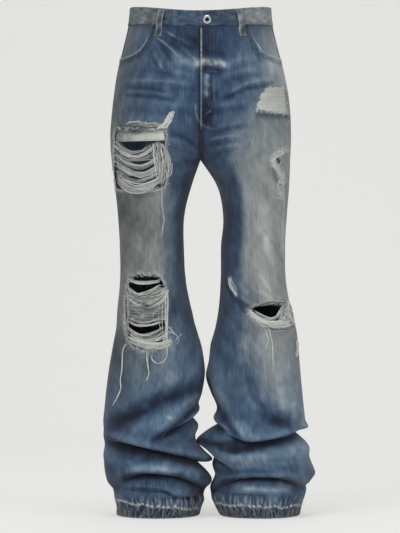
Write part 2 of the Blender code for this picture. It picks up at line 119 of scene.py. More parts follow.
# Small creases in the fronts, as seen from the front: two ends in X and Z, how far the
# middle bows up, width, height (below 0 for a groove), and how far the dye has worn off it, or, below 0, how
# much painted shade darkens it.
creaseColumns = ("x0", "z0", "x1", "z1", "bow", "width", "height", "wearAndShade")
creases = (
    (-91.5, -47.5, -43, -92, 4, 3.0, 1.7, 0.62), (-72.5, -36, -13.5, -72, 3, 3.4, 1.5, 0.5),
    (-102, -80, -71.5, -119.5, 2, 2.8, 1.4, 0.55), (-84.5, -42.5, -23.5, -84, 5, 3.2, 1.1, 0.3),
    (-95, -54.5, -65, -103.5, 3, 3.2, 1.0, 0.3), (-59, -35, -12, -64.5, 2, 3.2, 1.0, 0.3),
    (-65, -42.5, -33.5, -66.5, 2, 2.0, 0.8, 0.45), (-96, -74, -78.5, -99.5, 0, 2.0, 0.8, 0.4),
    (-80.5, -68, -57, -97.5, 0, 5.0, -1.8, -0.8), (-61, -60.5, -25.5, -88, 0, 5.0, -1.6, -0.7),
    (-65, -48.5, -21.5, -72, 0, 4.0, -1.4, -0.8), (-106, -70, -86.5, -105.5, 0, 4.0, -1.5, -0.7),
    (-47, -41, -10, -58.5, 0, 6.0, -1.0, -0.8), (-13.5, -48.5, -13.5, -74, 0, 7.0, -0.8, -0.7),
    (-39.5, -74, -8, -95.5, 0, 3.0, 1.2, 0.4), (-151, -148, -70.5, -159.5, 2, 6.0, -2.6, -0.7),
    (-153, -163.5, -61, -176, 3, 5.0, -2.2, -0.6), (-145.5, -135, -30.5, -143, 3, 6.0, 2.0, 0.45),
    (-147, -156.5, -59, -167.5, 3, 4.0, 1.8, 0.4), (-147, -176, -39.5, -190, 3, 7.0, 1.6, 0.3),
    (-137.5, -194, -59, -205.5, 0, 6.0, -1.6, -0.4), (-118, -115.5, -51, -127, 2, 6.0, -1.8, -0.4),
    (-59, -119.5, -10, -129, 2, 6.0, 1.4, 0.4), (-59, -152.5, -8, -156.5, 2, 6.0, -1.4, -0.4),
    (-53, -196, -10, -209.5, 2, 6.0, -1.2, -0.3), (59, -168.5, 122.5, -147, 4, 4.6, -3.0, -0.9),
    (122.5, -147, 151, -136, 0, 4.0, -2.2, -0.8), (39.5, -174.5, 68.5, -166.5, 0, 5.0, -1.6, -0.5),
    (63, -156.5, 137.5, -131, 4, 5.0, 2.2, 0.45), (43, -147, 118, -125, 5, 6.0, -1.8, -0.4),
    (39.5, -135, 108, -113.5, 5, 5.0, 1.6, 0.35), (43, -161.5, 99, -153.5, 0, 4.0, 1.2, 0.3),
    (59, -119.5, 118, -99.5, 4, 7.0, -1.4, -0.3), (29.5, -240, 89.5, -230, 3, 5.0, -2.2, -0.6),
    (27.5, -233, 94, -221.5, 3, 4.0, 1.6, 0.35), (14.5, -255.5, 75.5, -246, 2, 4.0, 1.9, 0.5),
    (25.5, -264.5, 75.5, -256.5, 2, 4.0, -1.8, -0.5), (23.5, -274.5, 82.5, -266.5, 2, 4.0, 1.6, 0.4),
    (-5, -276.5, -61, -255.5, 3, 5.0, 1.9, 0.35), (-8, -266.5, -55, -245, 3, 5.0, -1.8, -0.4),
    (-9, -294, -57, -312.5, 3, 6.0, -2.2, -0.4), (-9, -304, -49, -325.5, 3, 5.0, 1.8, 0.3),
    (11, -294, 63, -278.5, 3, 5.0, -2.2, -0.4), (13, -304, 55, -328.5, 3, 6.0, 2.0, 0.3),
    (12, -315.5, 49, -343, 3, 5.0, -1.8, -0.3), (-59, -237, -13.5, -266.5, 2, 5.0, -1.5, -0.3),
    (11, -198, 13, -219.5, 0, 3.6, -2.6, -1.2), (18.5, -193, 20.5, -237, 0, 3.2, -2.2, -1.0),
    (5, -176, 6, -233, 0, 3.0, -2.0, -1.0), (12, -127, 12, -168.5, 0, 5.0, 1.4, 0.3),
    (16.5, -125, 17.5, -171.5, 0, 3.0, -1.8, -0.9), (-12, -94, 49, -97.5, 2, 5.0, 2.0, 0.3),
    (6, -114.5, 43, -120.5, 0, 6.0, -2.4, -0.7), (8, -66.5, 12, -84, 0, 4.0, -1.8, -1.0),
    (15.5, -39, 16.5, -68, 0, 4.0, -1.2, -0.6), (108, -277.5, 147, -304, 0, 6.0, 1.0, 0.1),
    (51, -103.5, 94, -92, 3, 6.0, 1.4, 0.4), (102, -68, 125.5, -99.5, 0, 4.0, -1.4, -0.7),
    (110, -48.5, 121.5, -78, 0, 3.0, 1.2, 0.5), (29.5, -205.5, 88.5, -194, 4, 6.0, -1.6, -0.4),
    (27.5, -192, 98, -178, 4, 6.0, 1.5, 0.35), (-147, -217.5, -59, -227.5, 2, 6.0, 1.2, 0.2),
    (-29.5, -343, -57, -353, 2, 7.0, -1.4, -0.3), (21.5, -353, 47, -374.5, 2, 7.0, -1.4, -0.3),
    (-29.5, -559, -65, -626, 4, 9.0, -2.4, -0.3), (-21.5, -598.5, -59, -686.5, 5, 9.0, 2.4, 0.2),
    (-33.5, -500, -43, -559, 3, 9.0, -1.8, -0.2), (41, -574, 94, -647.5, -5, 9.0, -2.4, -0.3),
    (29.5, -637.5, 90.5, -712, -5, 10.0, 2.6, 0.2), (25.5, -559, 39.5, -618, 3, 8.0, -2.0, -0.2),
    (114, -559, 147, -578.5, 2, 4.0, 1.8, 0.4), (57, -529.5, 74.5, -576, 5, 4.0, 2.4, 0.7),
    (68.5, -561, 104, -595.5, -3, 4.0, -2.4, -0.9), (-147, -686.5, -108, -775, 5, 12.0, 2.0, 0.15),
    (-173, -696.5, -147, -785, 4, 11.0, -1.8, -0.2), (110, -696.5, 88.5, -794.5, 4, 13.0, -2.2, -0.2),
    (167, -706.5, 147, -785, 4, 11.0, 2.0, 0.25), (118, -657, 129.5, -755.5, 3, 9.0, 1.6, 0.2),
    (-173, -898.5, -137.5, -905.5, 4, 5.0, 2.2, 0.3), (-147, -917.5, -59, -922.5, 5, 7.0, 2.2, 0.35),
    (-157, -930, -68.5, -937, 5, 6.0, -2.2, -0.5), (59, -897.5, 147, -892, 6, 8.0, 2.4, 0.35),
    (98, -913.5, 186.5, -917.5, -3, 7.0, -2.2, -0.5), (108, -928, 176.5, -932, 3, 6.0, 1.8, 0.3),
    (12, -737.5, 45, -809.5, -6, 8.0, -7.0, -1.2), (45, -806.5, 78.5, -855.5, -3, 8.0, -6.0, -1.1),
    (25.5, -736, 61, -806.5, -6, 9.0, 4.0, 0.3), (-95, -857.5, -31.5, -813.5, -2, 6.5, -5.5, -1.4),
    (-31.5, -813.5, -10, -798.5, 0, 6.0, -4.0, -1.0), (-98, -842, -29.5, -794.5, -3, 9.0, 3.0, 0.3),
    (-82.5, -873, -19.5, -843.5, -3, 9.0, -2.0, -0.6), (108, -830, 186.5, -818, 4, 11.0, -3.0, -0.4),
    (68.5, -802.5, 137.5, -794.5, 6, 12.0, 2.4, 0.2),
)

# Torn areas seen from the front: middle, half size, squareness and how uneven the edge is.
rips = {
    "thigh": {
        "side": "right", "x": -122.5, "z": -292,
        "halfWide": 53, "halfHigh": 63, "square": 8.0, "uneven": 0.03,
    },
    "kneeRight": {
        "side": "right", "x": -111, "z": -599.5,
        "halfWide": 41, "halfHigh": 74, "square": 3.6, "uneven": 0.05,
    },
    "kneeLeft": {
        "side": "left", "x": 140.5, "z": -602.5,
        "halfWide": 42, "halfHigh": 21, "square": 1.9, "uneven": 0.08,
    },
}

foldLook = {
    "rollAt": 1.5,       # widths from the crease to the middle of each roll, and the roll's width
    "rollWidth": 0.8,
    "closing": 2.33,     # makes the steepest part of the closing as large as the table says
    "shadeDepth": 24,    # folds this deep or deeper are shaded in full
    "shade": 0.28,       # how much darker the cloth is inside a fold
}

rng = np.random.default_rng(7)


# A Gaussian bump: e to the minus square of the distance over the width.
def gauss(distance, width):
    return np.exp(-((distance / width) ** 2))


# A smooth step from 0 to 1: three squares less two cubes.
def smoothStep(share):
    return share * share * (3 - 2 * share)


# Points along a line at given places: counted in corners from its start, or by its knots.
def alongLine(line, at, knots=None):
    line = np.array(line, float)
    knots = np.arange(len(line)) if knots is None else knots
    return np.stack([np.interp(at, knots, line[:, k]) for k in range(line.shape[1])], axis=-1)


# Smooths a line so many times: each point moves to half of itself and a quarter of each
# neighbour, and the ends stay.
def smoothed(line, times):
    for _ in range(times):
        line[1:-1] = (line[:-2] + 2 * line[1:-1] + line[2:]) / 4
    return line


# Shares from 0 to 1 across and down a grid.
def shareGrid(columns, rows):
    return np.meshgrid(np.linspace(0, 1, columns), np.linspace(0, 1, rows))


# A smooth curve through the values at known levels: Hermite spans with finite-difference slopes.
def through(at, known, values):
    known = np.array(known[::-1], float) * mm
    values = np.array(values[::-1], float) * mm
    slopes = np.gradient(values, known)
    spot = np.clip(np.searchsorted(known, at) - 1, 0, len(known) - 2)
    step = known[spot + 1] - known[spot]
    t = np.clip((at - known[spot]) / step, 0, 1)
    return (values[spot] * (1 + 2 * t) * (1 - t) ** 2 + values[spot + 1] * t**2 * (3 - 2 * t)
            + step * t * (1 - t) * (slopes[spot] * (1 - t) - slopes[spot + 1] * t))


# The ellipse of each level: its centre and half width across, its middle and half depth
# fore and aft, and the angle from the outseam to the centre seam or inseam.
def sectionAt(side, level):
    level = np.asarray(level, float)
    crotch = form["crotch"] * mm
    outer = through(level, form["levels"], form["reachOut"][side])
    front = through(level, form["levels"], form["reachFront"])
    back = through(level, form["levels"], form["reachBack"])
    inner = np.where(level < crotch, through(level, form["levels"][6:], form["inseam"][side]), 0)
    closing = np.clip(1 - (level - crotch) / (form["riseHook"] * mm), 0, 1)
    centre = np.where(level < crotch, (outer + inner) / 2, outer * closing / (1 + closing))
    sweep = np.where(level < crotch, np.pi, np.arccos(-closing))
    return centre, outer - centre, (back - front) / 2, (back + front) / 2, sweep


# For each fold: its sizes, how many widths each point lies below its crease line, and its
# share, which fades out with the angle from the fold's middle.
def eachFold(side, level, angle):
    for row in folds[side]:
        fold = dict(zip(foldColumns, row))
        size = {k: fold[k] * mm for k in foldColumns[:9]}
        crease = (size["level"] + size["rise"] * np.cos(angle) + size["lean"] * np.sin(angle)
                  + size["bow"] * np.cos(2 * angle))
        away = (np.degrees(angle) - fold["angle"] + 180) % 360 - 180
        yield size, (crease - level) / size["width"], np.exp(-((away / fold["reach"]) ** 4))


# Each fold pushes the cloth in by a Gaussian across its crease line, out by two rolls
# beside it, and up by a tuck.
def foldShift(side, level, angle):
    out = np.zeros(np.broadcast(level, angle).shape)
    up = np.zeros_like(out)
    for size, x, share in eachFold(side, level, angle):
        at, wide = foldLook["rollAt"], foldLook["rollWidth"]
        rolls = gauss(x + at, wide) + 0.7 * gauss(x - at, wide)
        out += share * (size["roll"] * rolls - size["depth"] * np.exp(-(x**2)))
        up += share * (size["tuck"] + size["close"] * foldLook["closing"] * x) * np.exp(-(x**2))
    return out, up


# Painted shade and wear of the folds: 1 where cloth is tucked in under a lip and shaded, below 0 on the worn
# rolls.
def foldShadeAndWear(side, level, angle):
    shade = np.zeros(np.broadcast(level, angle).shape)
    for size, x, share in eachFold(side, level, angle):
        lips = 0.4 * gauss(x + 1.6, 0.9) + 0.45 * gauss(x - 2.0, 0.9)
        shade += share * min(size["depth"] / (foldLook["shadeDepth"] * mm), 1) * (gauss(x - 0.15, 0.5) - lips)
    return shade


# Sum of plane waves in random directions: a soft uneven field of about unit height.
def ripple(u, v, size, seed, stretch=1.0, waves=9):
    local = np.random.default_rng(seed)
    turn = local.uniform(0, 2 * np.pi, waves)
    phase = local.uniform(0, 2 * np.pi, waves)
    pitch = size * local.uniform(0.6, 1.6, waves)
    total = 0
    for k in range(waves):
        total = total + np.sin(2 * np.pi * (u * np.cos(turn[k]) + v * np.sin(turn[k]) / stretch) / pitch[k]
            + phase[k])
    return total / math.sqrt(waves / 2)


# How far the waist hangs lower in front: the sine of the angle cubed, less further down.
def frontDip(level, angle, fade):
    drop = np.clip(1 + (level - form["bandBottom"] * mm) / fade, 0, 1.6)
    return form["frontDip"] * mm * np.clip(-np.sin(angle), 0, 1) ** 3 * drop


# Point on the folded cloth: the level's ellipse, pushed along its normal by the folds.
def clothPoint(side, level, angle):
    centre, halfWide, middle, halfDeep, _ = sectionAt(side, level)
    out, up = foldShift(side, level, angle)
    across, along = np.cos(angle) * halfDeep, np.sin(angle) * halfWide
    reach = out / np.hypot(across, along)
    x = centre + halfWide * np.cos(angle) + reach * across + form["centreGap"] * mm
    y = middle + halfDeep * np.sin(angle) + reach * along
    dip = frontDip(level, angle, form["clothFade"] * mm)
    return np.stack([sideSign[side] * x, y, level + up - dip], axis=-1)


# Outward normal: the cross product of the steps down and round the cloth.
def clothNormal(side, level, angle):
    down = clothPoint(side, level - 0.0001, angle) - clothPoint(side, level + 0.0001, angle)
    around = clothPoint(side, level, angle + 0.001) - clothPoint(side, level, angle - 0.001)
    normal = np.cross(down, around) * sideSign[side]
    return normal / np.linalg.norm(normal, axis=-1, keepdims=True)


# The angle at which a level's ellipse is so far across, on its front or its back half.
def angleAt(side, level, across, back=False):
    centre, halfWide, _, _, _ = sectionAt(side, level)
    angle = np.arccos(np.clip((across - centre) / halfWide, -1, 1))
    return angle if back else -angle


# How high the small creases raise each point, and how worn it is there or, below 0, how much
# painted shade darkens it: a Gaussian of the distance to each crease's bowed line, faded at its ends.
def creaseField(x, z):
    height = np.zeros(x.shape)
    wearAndShade = np.zeros(x.shape)
    for row in creases:
        c = dict(zip(creaseColumns, row))
        dx, dz = (c["x1"] - c["x0"]) * mm, (c["z1"] - c["z0"]) * mm
        length = math.hypot(dx, dz)
        px, pz = x - c["x0"] * mm, z - c["z0"] * mm
        t = (px * dx + pz * dz) / length**2
        bow = c["bow"] * mm * (1 - (2 * np.clip(t, 0, 1) - 1) ** 2)
        off = (pz * dx - px * dz) / length * math.copysign(1, dx) - bow
        ends = np.exp(-((2 * t - 1) / 1.05) ** 6)
        near = gauss(off, c["width"] * mm) * ends
        height += c["height"] * mm * near
        wearAndShade += c["wearAndShade"] * near
    return height, wearAndShade


# Radius of a torn outline's point as a share of its superellipse: below 1 is inside.
def ripShare(rip, x, z):
    dx, dz = (x - rip["x"] * mm) / (rip["halfWide"] * mm), (z - rip["z"] * mm) / (rip["halfHigh"] * mm)
    turn = np.arctan2(dz, dx)
    edge = 1 + rip["uneven"] * (np.sin(5 * turn + rip["z"]) + 0.7 * np.sin(11 * turn + 1.3) + 0.5
        * np.sin(23 * turn)) / 2
    return (np.abs(dx) ** rip["square"] + np.abs(dz) ** rip["square"]) ** (1 / rip["square"]) / edge


# Linear colour of an sRGB hex code.
def toLinear(hexCode):
    value = np.array([int(hexCode[k:k + 2], 16) for k in (1, 3, 5)]) / 255
    linear = np.where(value <= 0.04045, value / 12.92, ((value + 0.055) / 1.055) ** 2.4)
    return tuple(linear.tolist()) + (1.0,)


# Adds a node with its settings and its inputs: a value is set, a socket is linked.
def addNode(tree, kind, settings=None, inputs=None):
    node = tree.nodes.new(kind)
    for key, value in (settings or {}).items():
        setattr(node, key, value)
    for key, value in (inputs or {}).items():
        if isinstance(value, bpy.types.NodeSocket):
            tree.links.new(value, node.inputs[key])
        else:
            node.inputs[key].default_value = value
    return node


# A material with its node tree and shader: roughness and metallic from 0 to 1.
def newMaterial(name, roughness, metallic=0.0):
    material = bpy.data.materials.new(name)
    material.use_nodes = True
    shader = material.node_tree.nodes["Principled BSDF"]
    shader.inputs["Roughness"].default_value = roughness
    shader.inputs["Metallic"].default_value = metallic
    return material, material.node_tree, shader


# A math node on two or three inputs: its result, held between 0 and 1 where clamped.
def addMath(tree, operation, first, second, third=None, clamp=False):
    inputs = {0: first, 1: second}
    if third is not None:
        inputs[2] = third
    return addNode(tree, "ShaderNodeMath", {"operation": operation, "use_clamp": clamp}, inputs).outputs[0]


# Fractal noise over a vector: its value from 0 to 1.
def addNoise(tree, vector, scale, detail, roughness=0.5, dimensions="3D"):
    return addNode(tree, "ShaderNodeTexNoise", {"noise_dimensions": dimensions}, {
        "Vector": vector, "Scale": scale, "Detail": detail, "Roughness": roughness}).outputs["Fac"]


# The colour of a value read from a row of stops, each a place from 0 to 1 and a hex code.
def addRamp(tree, value, stops):
    node = addNode(tree, "ShaderNodeValToRGB", None, {"Fac": value})
    ramp = node.color_ramp
    while len(ramp.elements) < len(stops):
        ramp.elements.new(0.5)
    for element, (at, colour) in zip(ramp.elements, stops):
        element.position = at
        element.color = toLinear(colour)
    return node.outputs["Color"]


# A colour that goes from the first to the second as the share goes from 0 to 1.
def addMix(tree, share, first, second):
    return addNode(tree, "ShaderNodeMix", {"data_type": "RGBA"}, {0: share, 6: first, 7: second}).outputs[2]


# Bumps a shader's surface by a height: strength from 0 to 1, distance in metres.
def addBump(tree, shader, height, strength, distance):
    bump = addNode(tree, "ShaderNodeBump", None,
        {"Height": height, "Strength": strength, "Distance": distance})
    tree.links.new(bump.outputs["Normal"], shader.inputs["Normal"])


denimLook = {
    "indigo": ((0.0, "#0b1322"), (0.22, "#1f3049"), (0.34, "#30455f"), (0.44, "#435a73"),
        (0.56, "#5d7489"), (0.72, "#8597a5"), (1.0, "#b9c3c9")),
    "grey": ((0.0, "#15191c"), (0.25, "#33393b"), (0.42, "#4f5657"), (0.55, "#6c7170"), (0.72, "#8f9392"),
        (1.0, "#bfc2bd")),
    "bare": "#d3d7d2",          # where only the undyed weft is left
    "twillPitch": 2.4,          # mm; real twill is about 0.8, drawn coarser so that it shows
    "slubWidth": 3.0,           # mm across a slub streak
    "slubLength": 55.0,         # mm down a slub streak
    "streak": 0.11,             # how much the slubs, the clouds and the specks change the fade
    "cloud": 0.26,
    "speck": 0.14,
    "cloudScale": 30.0,         # to the metre
    "speckScale": 420.0,
    "waveTurns": 6.3,           # a wave texture's turns at scale 1
    "roughness": 0.92,
    "sheen": 0.12,
}


# Stone-washed indigo denim: dyed warp over undyed weft in a 3/1 right-hand twill.  It
# gives a matt cloth with fine diagonal wales, vertical slub streaks, a grey tint where
# it was tinted after washing, and near white where the warp is worn through.
def makeDenim(name, look):
    material, tree, shader = newMaterial(name, look["roughness"])
    # the point colour gives the fade, with painted shade taken off it in folds, creases and under edges, then
    # grey and bare
    washAndShade = addNode(tree, "ShaderNodeAttribute", {"attribute_name": "washAndShade"})
    parts = addNode(tree, "ShaderNodeSeparateColor", None, {"Color": washAndShade.outputs["Color"]}).outputs
    uv = addNode(tree, "ShaderNodeUVMap", {"uv_map": "cloth"}).outputs["UV"]
    slubs = addNode(tree, "ShaderNodeMapping", None, {
        "Vector": uv, "Scale": (1000 / look["slubWidth"], 1000 / look["slubLength"], 1.0)})
    streak = addNoise(tree, slubs.outputs["Vector"], 1.0, 4.0, 0.65, "2D")
    cloud = addNoise(tree, uv, look["cloudScale"], 6.0, 0.6, "2D")
    speck = addNoise(tree, uv, look["speckScale"], 2.0, 0.6, "2D")
    fade = addMath(tree, "MULTIPLY_ADD", streak, look["streak"] * 2.4, parts["Red"])
    fade = addMath(tree, "MULTIPLY_ADD", cloud, look["cloud"], fade)
    fade = addMath(tree, "MULTIPLY_ADD", speck, look["speck"], fade)
    fade = addMath(tree, "SUBTRACT", fade, look["streak"] * 1.2 + 0.2, clamp=True)
    blue = addRamp(tree, fade, look["indigo"])
    grey = addRamp(tree, fade, look["grey"])
    dyed = addMix(tree, parts["Green"], blue, grey)
    tree.links.new(addMix(tree, parts["Blue"], dyed, toLinear(look["bare"])), shader.inputs["Base Color"])
    # twill wales: a sine along the bolt's diagonal, broken up by noise, raises the yarns
    wale = addNode(tree, "ShaderNodeTexWave", {"wave_type": "BANDS", "bands_direction": "DIAGONAL"}, {
        "Vector": uv, "Scale": 1000 / look["twillPitch"] / look["waveTurns"],
        "Distortion": 1.2, "Detail": 1.0, "Detail Scale": 3.0})
    relief = addMath(tree, "MULTIPLY_ADD", speck, 1.2, wale.outputs["Fac"])
    relief = addMath(tree, "MULTIPLY_ADD", streak, 1.6, relief)
    addBump(tree, shader, relief, 0.55, 0.0006)
    shader.inputs["Sheen Weight"].default_value = look["sheen"]
    shader.inputs["Sheen Roughness"].default_value = 0.6
    shader.inputs["Specular IOR Level"].default_value = 0.25
    return material


yarnLook = {"stops": ((0.0, "#39424a"), (0.3, "#6f7574"), (0.6, "#a6a9a5"), (1.0, "#d8dad5")),
    "roughness": 0.95}


threadLook = {"stops": ((0.0, "#26374c"), (0.5, "#4d5e6e"), (1.0, "#9aa3a8")), "roughness": 0.8}


# Undyed cotton yarn: loosely spun and hairy, so it is matt with a soft uneven tone.
def makeYarn(name, look):
    material, tree, shader = newMaterial(name, look["roughness"])
    place = addNode(tree, "ShaderNodeTexCoord").outputs["Object"]
    own = addNode(tree, "ShaderNodeAttribute", {"attribute_name": "tone"}).outputs["Fac"]
    noise = addNoise(tree, place, 260.0, 3.0)
    tone = addMath(tree, "MULTIPLY_ADD", noise, 0.4, own)
    tone = addMath(tree, "SUBTRACT", tone, 0.2, clamp=True)
    tree.links.new(addRamp(tree, tone, look["stops"]), shader.inputs["Base Color"])
    addBump(tree, shader, noise, 0.5, 0.0004)
    shader.inputs["Sheen Weight"].default_value = 0.2
    return material


# Plain-woven pocket cotton: undyed, tinted a little green in the wash, with a painted highlight
# that makes it paler towards the centre, and with fine square weave.
def makePocketCotton():
    material, tree, shader = newMaterial("woven pocket cotton", 0.9)
    place = addNode(tree, "ShaderNodeTexCoord").outputs["Object"]
    across = addNode(tree, "ShaderNodeSeparateXYZ", None, {"Vector": place}).outputs["X"]
    # painted highlight: paler from the outseam towards the centre
    paintedLightInward = addNode(tree, "ShaderNodeMapRange", None, {0: across, 1: -0.17, 2: -0.08, 3: 0.05, 4: 0.4})
    tone = addMath(tree, "MULTIPLY_ADD", addNoise(tree, place, 60.0, 4.0), 0.5, paintedLightInward.outputs["Result"])
    tree.links.new(addRamp(tree, tone, ((0.2, "#777a76"), (0.66, "#cfd4cd"))), shader.inputs["Base Color"])
    addBump(tree, shader, addNoise(tree, place, 900.0, 2.0), 0.4, 0.0005)
    return material


# Worn nickel-plated steel: a silver ring tumbled dull by the wash and mottled by noise, with
# painted shade that makes its sunk middle dark.
def makeMetal(middle):
    material, tree, shader = newMaterial("tumbled nickel plate", 0.36, 1.0)
    place = addNode(tree, "ShaderNodeTexCoord").outputs["Object"]
    noise = addNoise(tree, place, 500.0, 3.0)
    silver = addRamp(tree, noise, ((0.25, "#a4a6a8"), (0.6, "#eceeee")))
    flat = addNode(tree, "ShaderNodeVectorMath", {"operation": "MULTIPLY"}, {0: place, 1: (1.0, 0.0, 1.0)})
    away = addNode(tree, "ShaderNodeVectorMath", {"operation": "DISTANCE"}, {
        0: flat.outputs["Vector"], 1: middle})
    # painted shade: dark out to 3 mm from the middle, silver from 4.6 mm out
    ring = addNode(tree, "ShaderNodeMapRange", {"interpolation_type": "SMOOTHSTEP"}, {
        0: away.outputs["Value"], 1: 3.0 * mm, 2: 4.6 * mm})
    shown = addMix(tree, ring.outputs["Result"], toLinear("#1b1d20"), silver)
    tree.links.new(shown, shader.inputs["Base Color"])
    tree.links.new(addMath(tree, "MULTIPLY_ADD", noise, 0.25, 0.24), shader.inputs["Roughness"])
    return material


# A new object in the scene's own collection.
def addObject(name, data):
    made = bpy.data.objects.new(name, data)
    bpy.context.scene.collection.objects.link(made)
    return made


# A smooth mesh of points and faces in one material.
def newMesh(name, points, faces, material):
    mesh = bpy.data.meshes.new(name)
    mesh.from_pydata(points.reshape(-1, 3).tolist(), [], faces)
    mesh.shade_smooth()
    mesh.materials.append(material)
    return mesh


# A piece from points and faces, with its cloth UV and its wash colour, painted shade included, per point
# where given.
def addMesh(name, points, faces, material, uv=None, washAndShade=None, thickness=0.0, rimOnly=False):
    mesh = newMesh(name, points, faces.tolist(), material)
    if uv is not None:
        layer = mesh.uv_layers.new(name="cloth")
        corner = np.empty(len(mesh.loops), np.int32)
        mesh.loops.foreach_get("vertex_index", corner)
        layer.data.foreach_set("uv", uv.reshape(-1, 2)[corner].ravel().astype(np.float32))
    if washAndShade is not None:
        colour = mesh.attributes.new("washAndShade", "FLOAT_COLOR", "POINT")
        washAndShade = washAndShade.reshape(-1, 3)
        rgba = np.concatenate([washAndShade, np.ones((len(washAndShade), 1))], axis=1)
        colour.data.foreach_set("color", rgba.ravel().astype(np.float32))
    piece = addObject(name, mesh)
    if thickness:
        wall = piece.modifiers.new("wall", "SOLIDIFY")
        wall.thickness = thickness
        wall.offset = -1
        wall.use_rim = True
        wall.use_rim_only = rimOnly
    return piece


# Quads over a grid of rows and columns, turned over where the grid runs the other way.
def gridFaces(rows, columns, flip=False):
    index = np.arange(rows * columns).reshape(rows, columns)
    quads = np.stack([index[:-1, :-1], index[1:, :-1], index[1:, 1:], index[:-1, 1:]], axis=-1).reshape(-1, 4)
    return quads[:, ::-1] if flip else quads


# Closed tubes along many paths at once: at each path point a ring of points stands
# square to the path, and its radius tapers to the given share at both ends.
def tubes(paths, radius, sides=5, taper=0.35):
    count, steps = paths.shape[:2]
    along = np.gradient(paths, axis=1)
    along /= np.linalg.norm(along, axis=-1, keepdims=True) + 1e-12
    guide = np.where(np.abs(along[..., 1:2]) > 0.9, np.array([1.0, 0, 0]), np.array([0, 1.0, 0]))
    first = np.cross(along, guide)
    first /= np.linalg.norm(first, axis=-1, keepdims=True)
    second = np.cross(along, first)
    turn = np.arange(sides) * 2 * np.pi / sides
    t = np.linspace(-1, 1, steps)
    size = np.asarray(radius).reshape(-1, 1) * (1 - (1 - taper) * t**8)
    ring = first[:, :, None] * np.cos(turn)[:, None] + second[:, :, None] * np.sin(turn)[:, None]
    points = paths[:, :, None] + ring * size[:, :, None, None]
    index = np.arange(count * steps * sides).reshape(count, steps, sides)
    after = np.roll(index, -1, axis=2)
    quads = np.stack([index[:, :-1], index[:, 1:], after[:, 1:], after[:, :-1]], axis=-1).reshape(-1, 4)
    caps = [[*ring[::-1]] for ring in index[:, 0].tolist()] + index[:, -1].tolist()
    return points.reshape(-1, 3), quads.tolist() + caps


# A piece of tubes along paths, with one tone for each path.
def addTubes(name, paths, radius, material, tone=0.7, sides=5, taper=0.35):
    points, faces = tubes(paths, radius, sides, taper)
    mesh = newMesh(name, points, faces, material)
    shade = mesh.attributes.new("tone", "FLOAT", "POINT")
    each = np.broadcast_to(np.asarray(tone, float).reshape(-1, 1), (len(paths), paths.shape[1] * sides))
    shade.data.foreach_set("value", np.ascontiguousarray(each, np.float32).ravel())
    return addObject(name, mesh)


# Rides a piece on the one body and hides the CAD nodes it stands for.
def finishPiece(piece, slot, *nodes):
    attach(piece, "root")
    if nodes:
        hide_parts(*nodes)
    return piece


denim = makeDenim("stone-washed indigo denim", denimLook)
yarn = makeYarn("undyed cotton weft yarn", yarnLook)
pocketCotton = makePocketCotton()
thread = makeYarn("faded polyester sewing thread", threadLook)
print("materials made")

washLook = {
    # a line or crease of negative strength takes fade away instead: painted shade
    "crease": 0.16,      # fade that a worn line or crease of strength 1 adds
    "bareFrom": 0.35,    # creases worn further than this show bare weft
    "bare": 0.75,
}

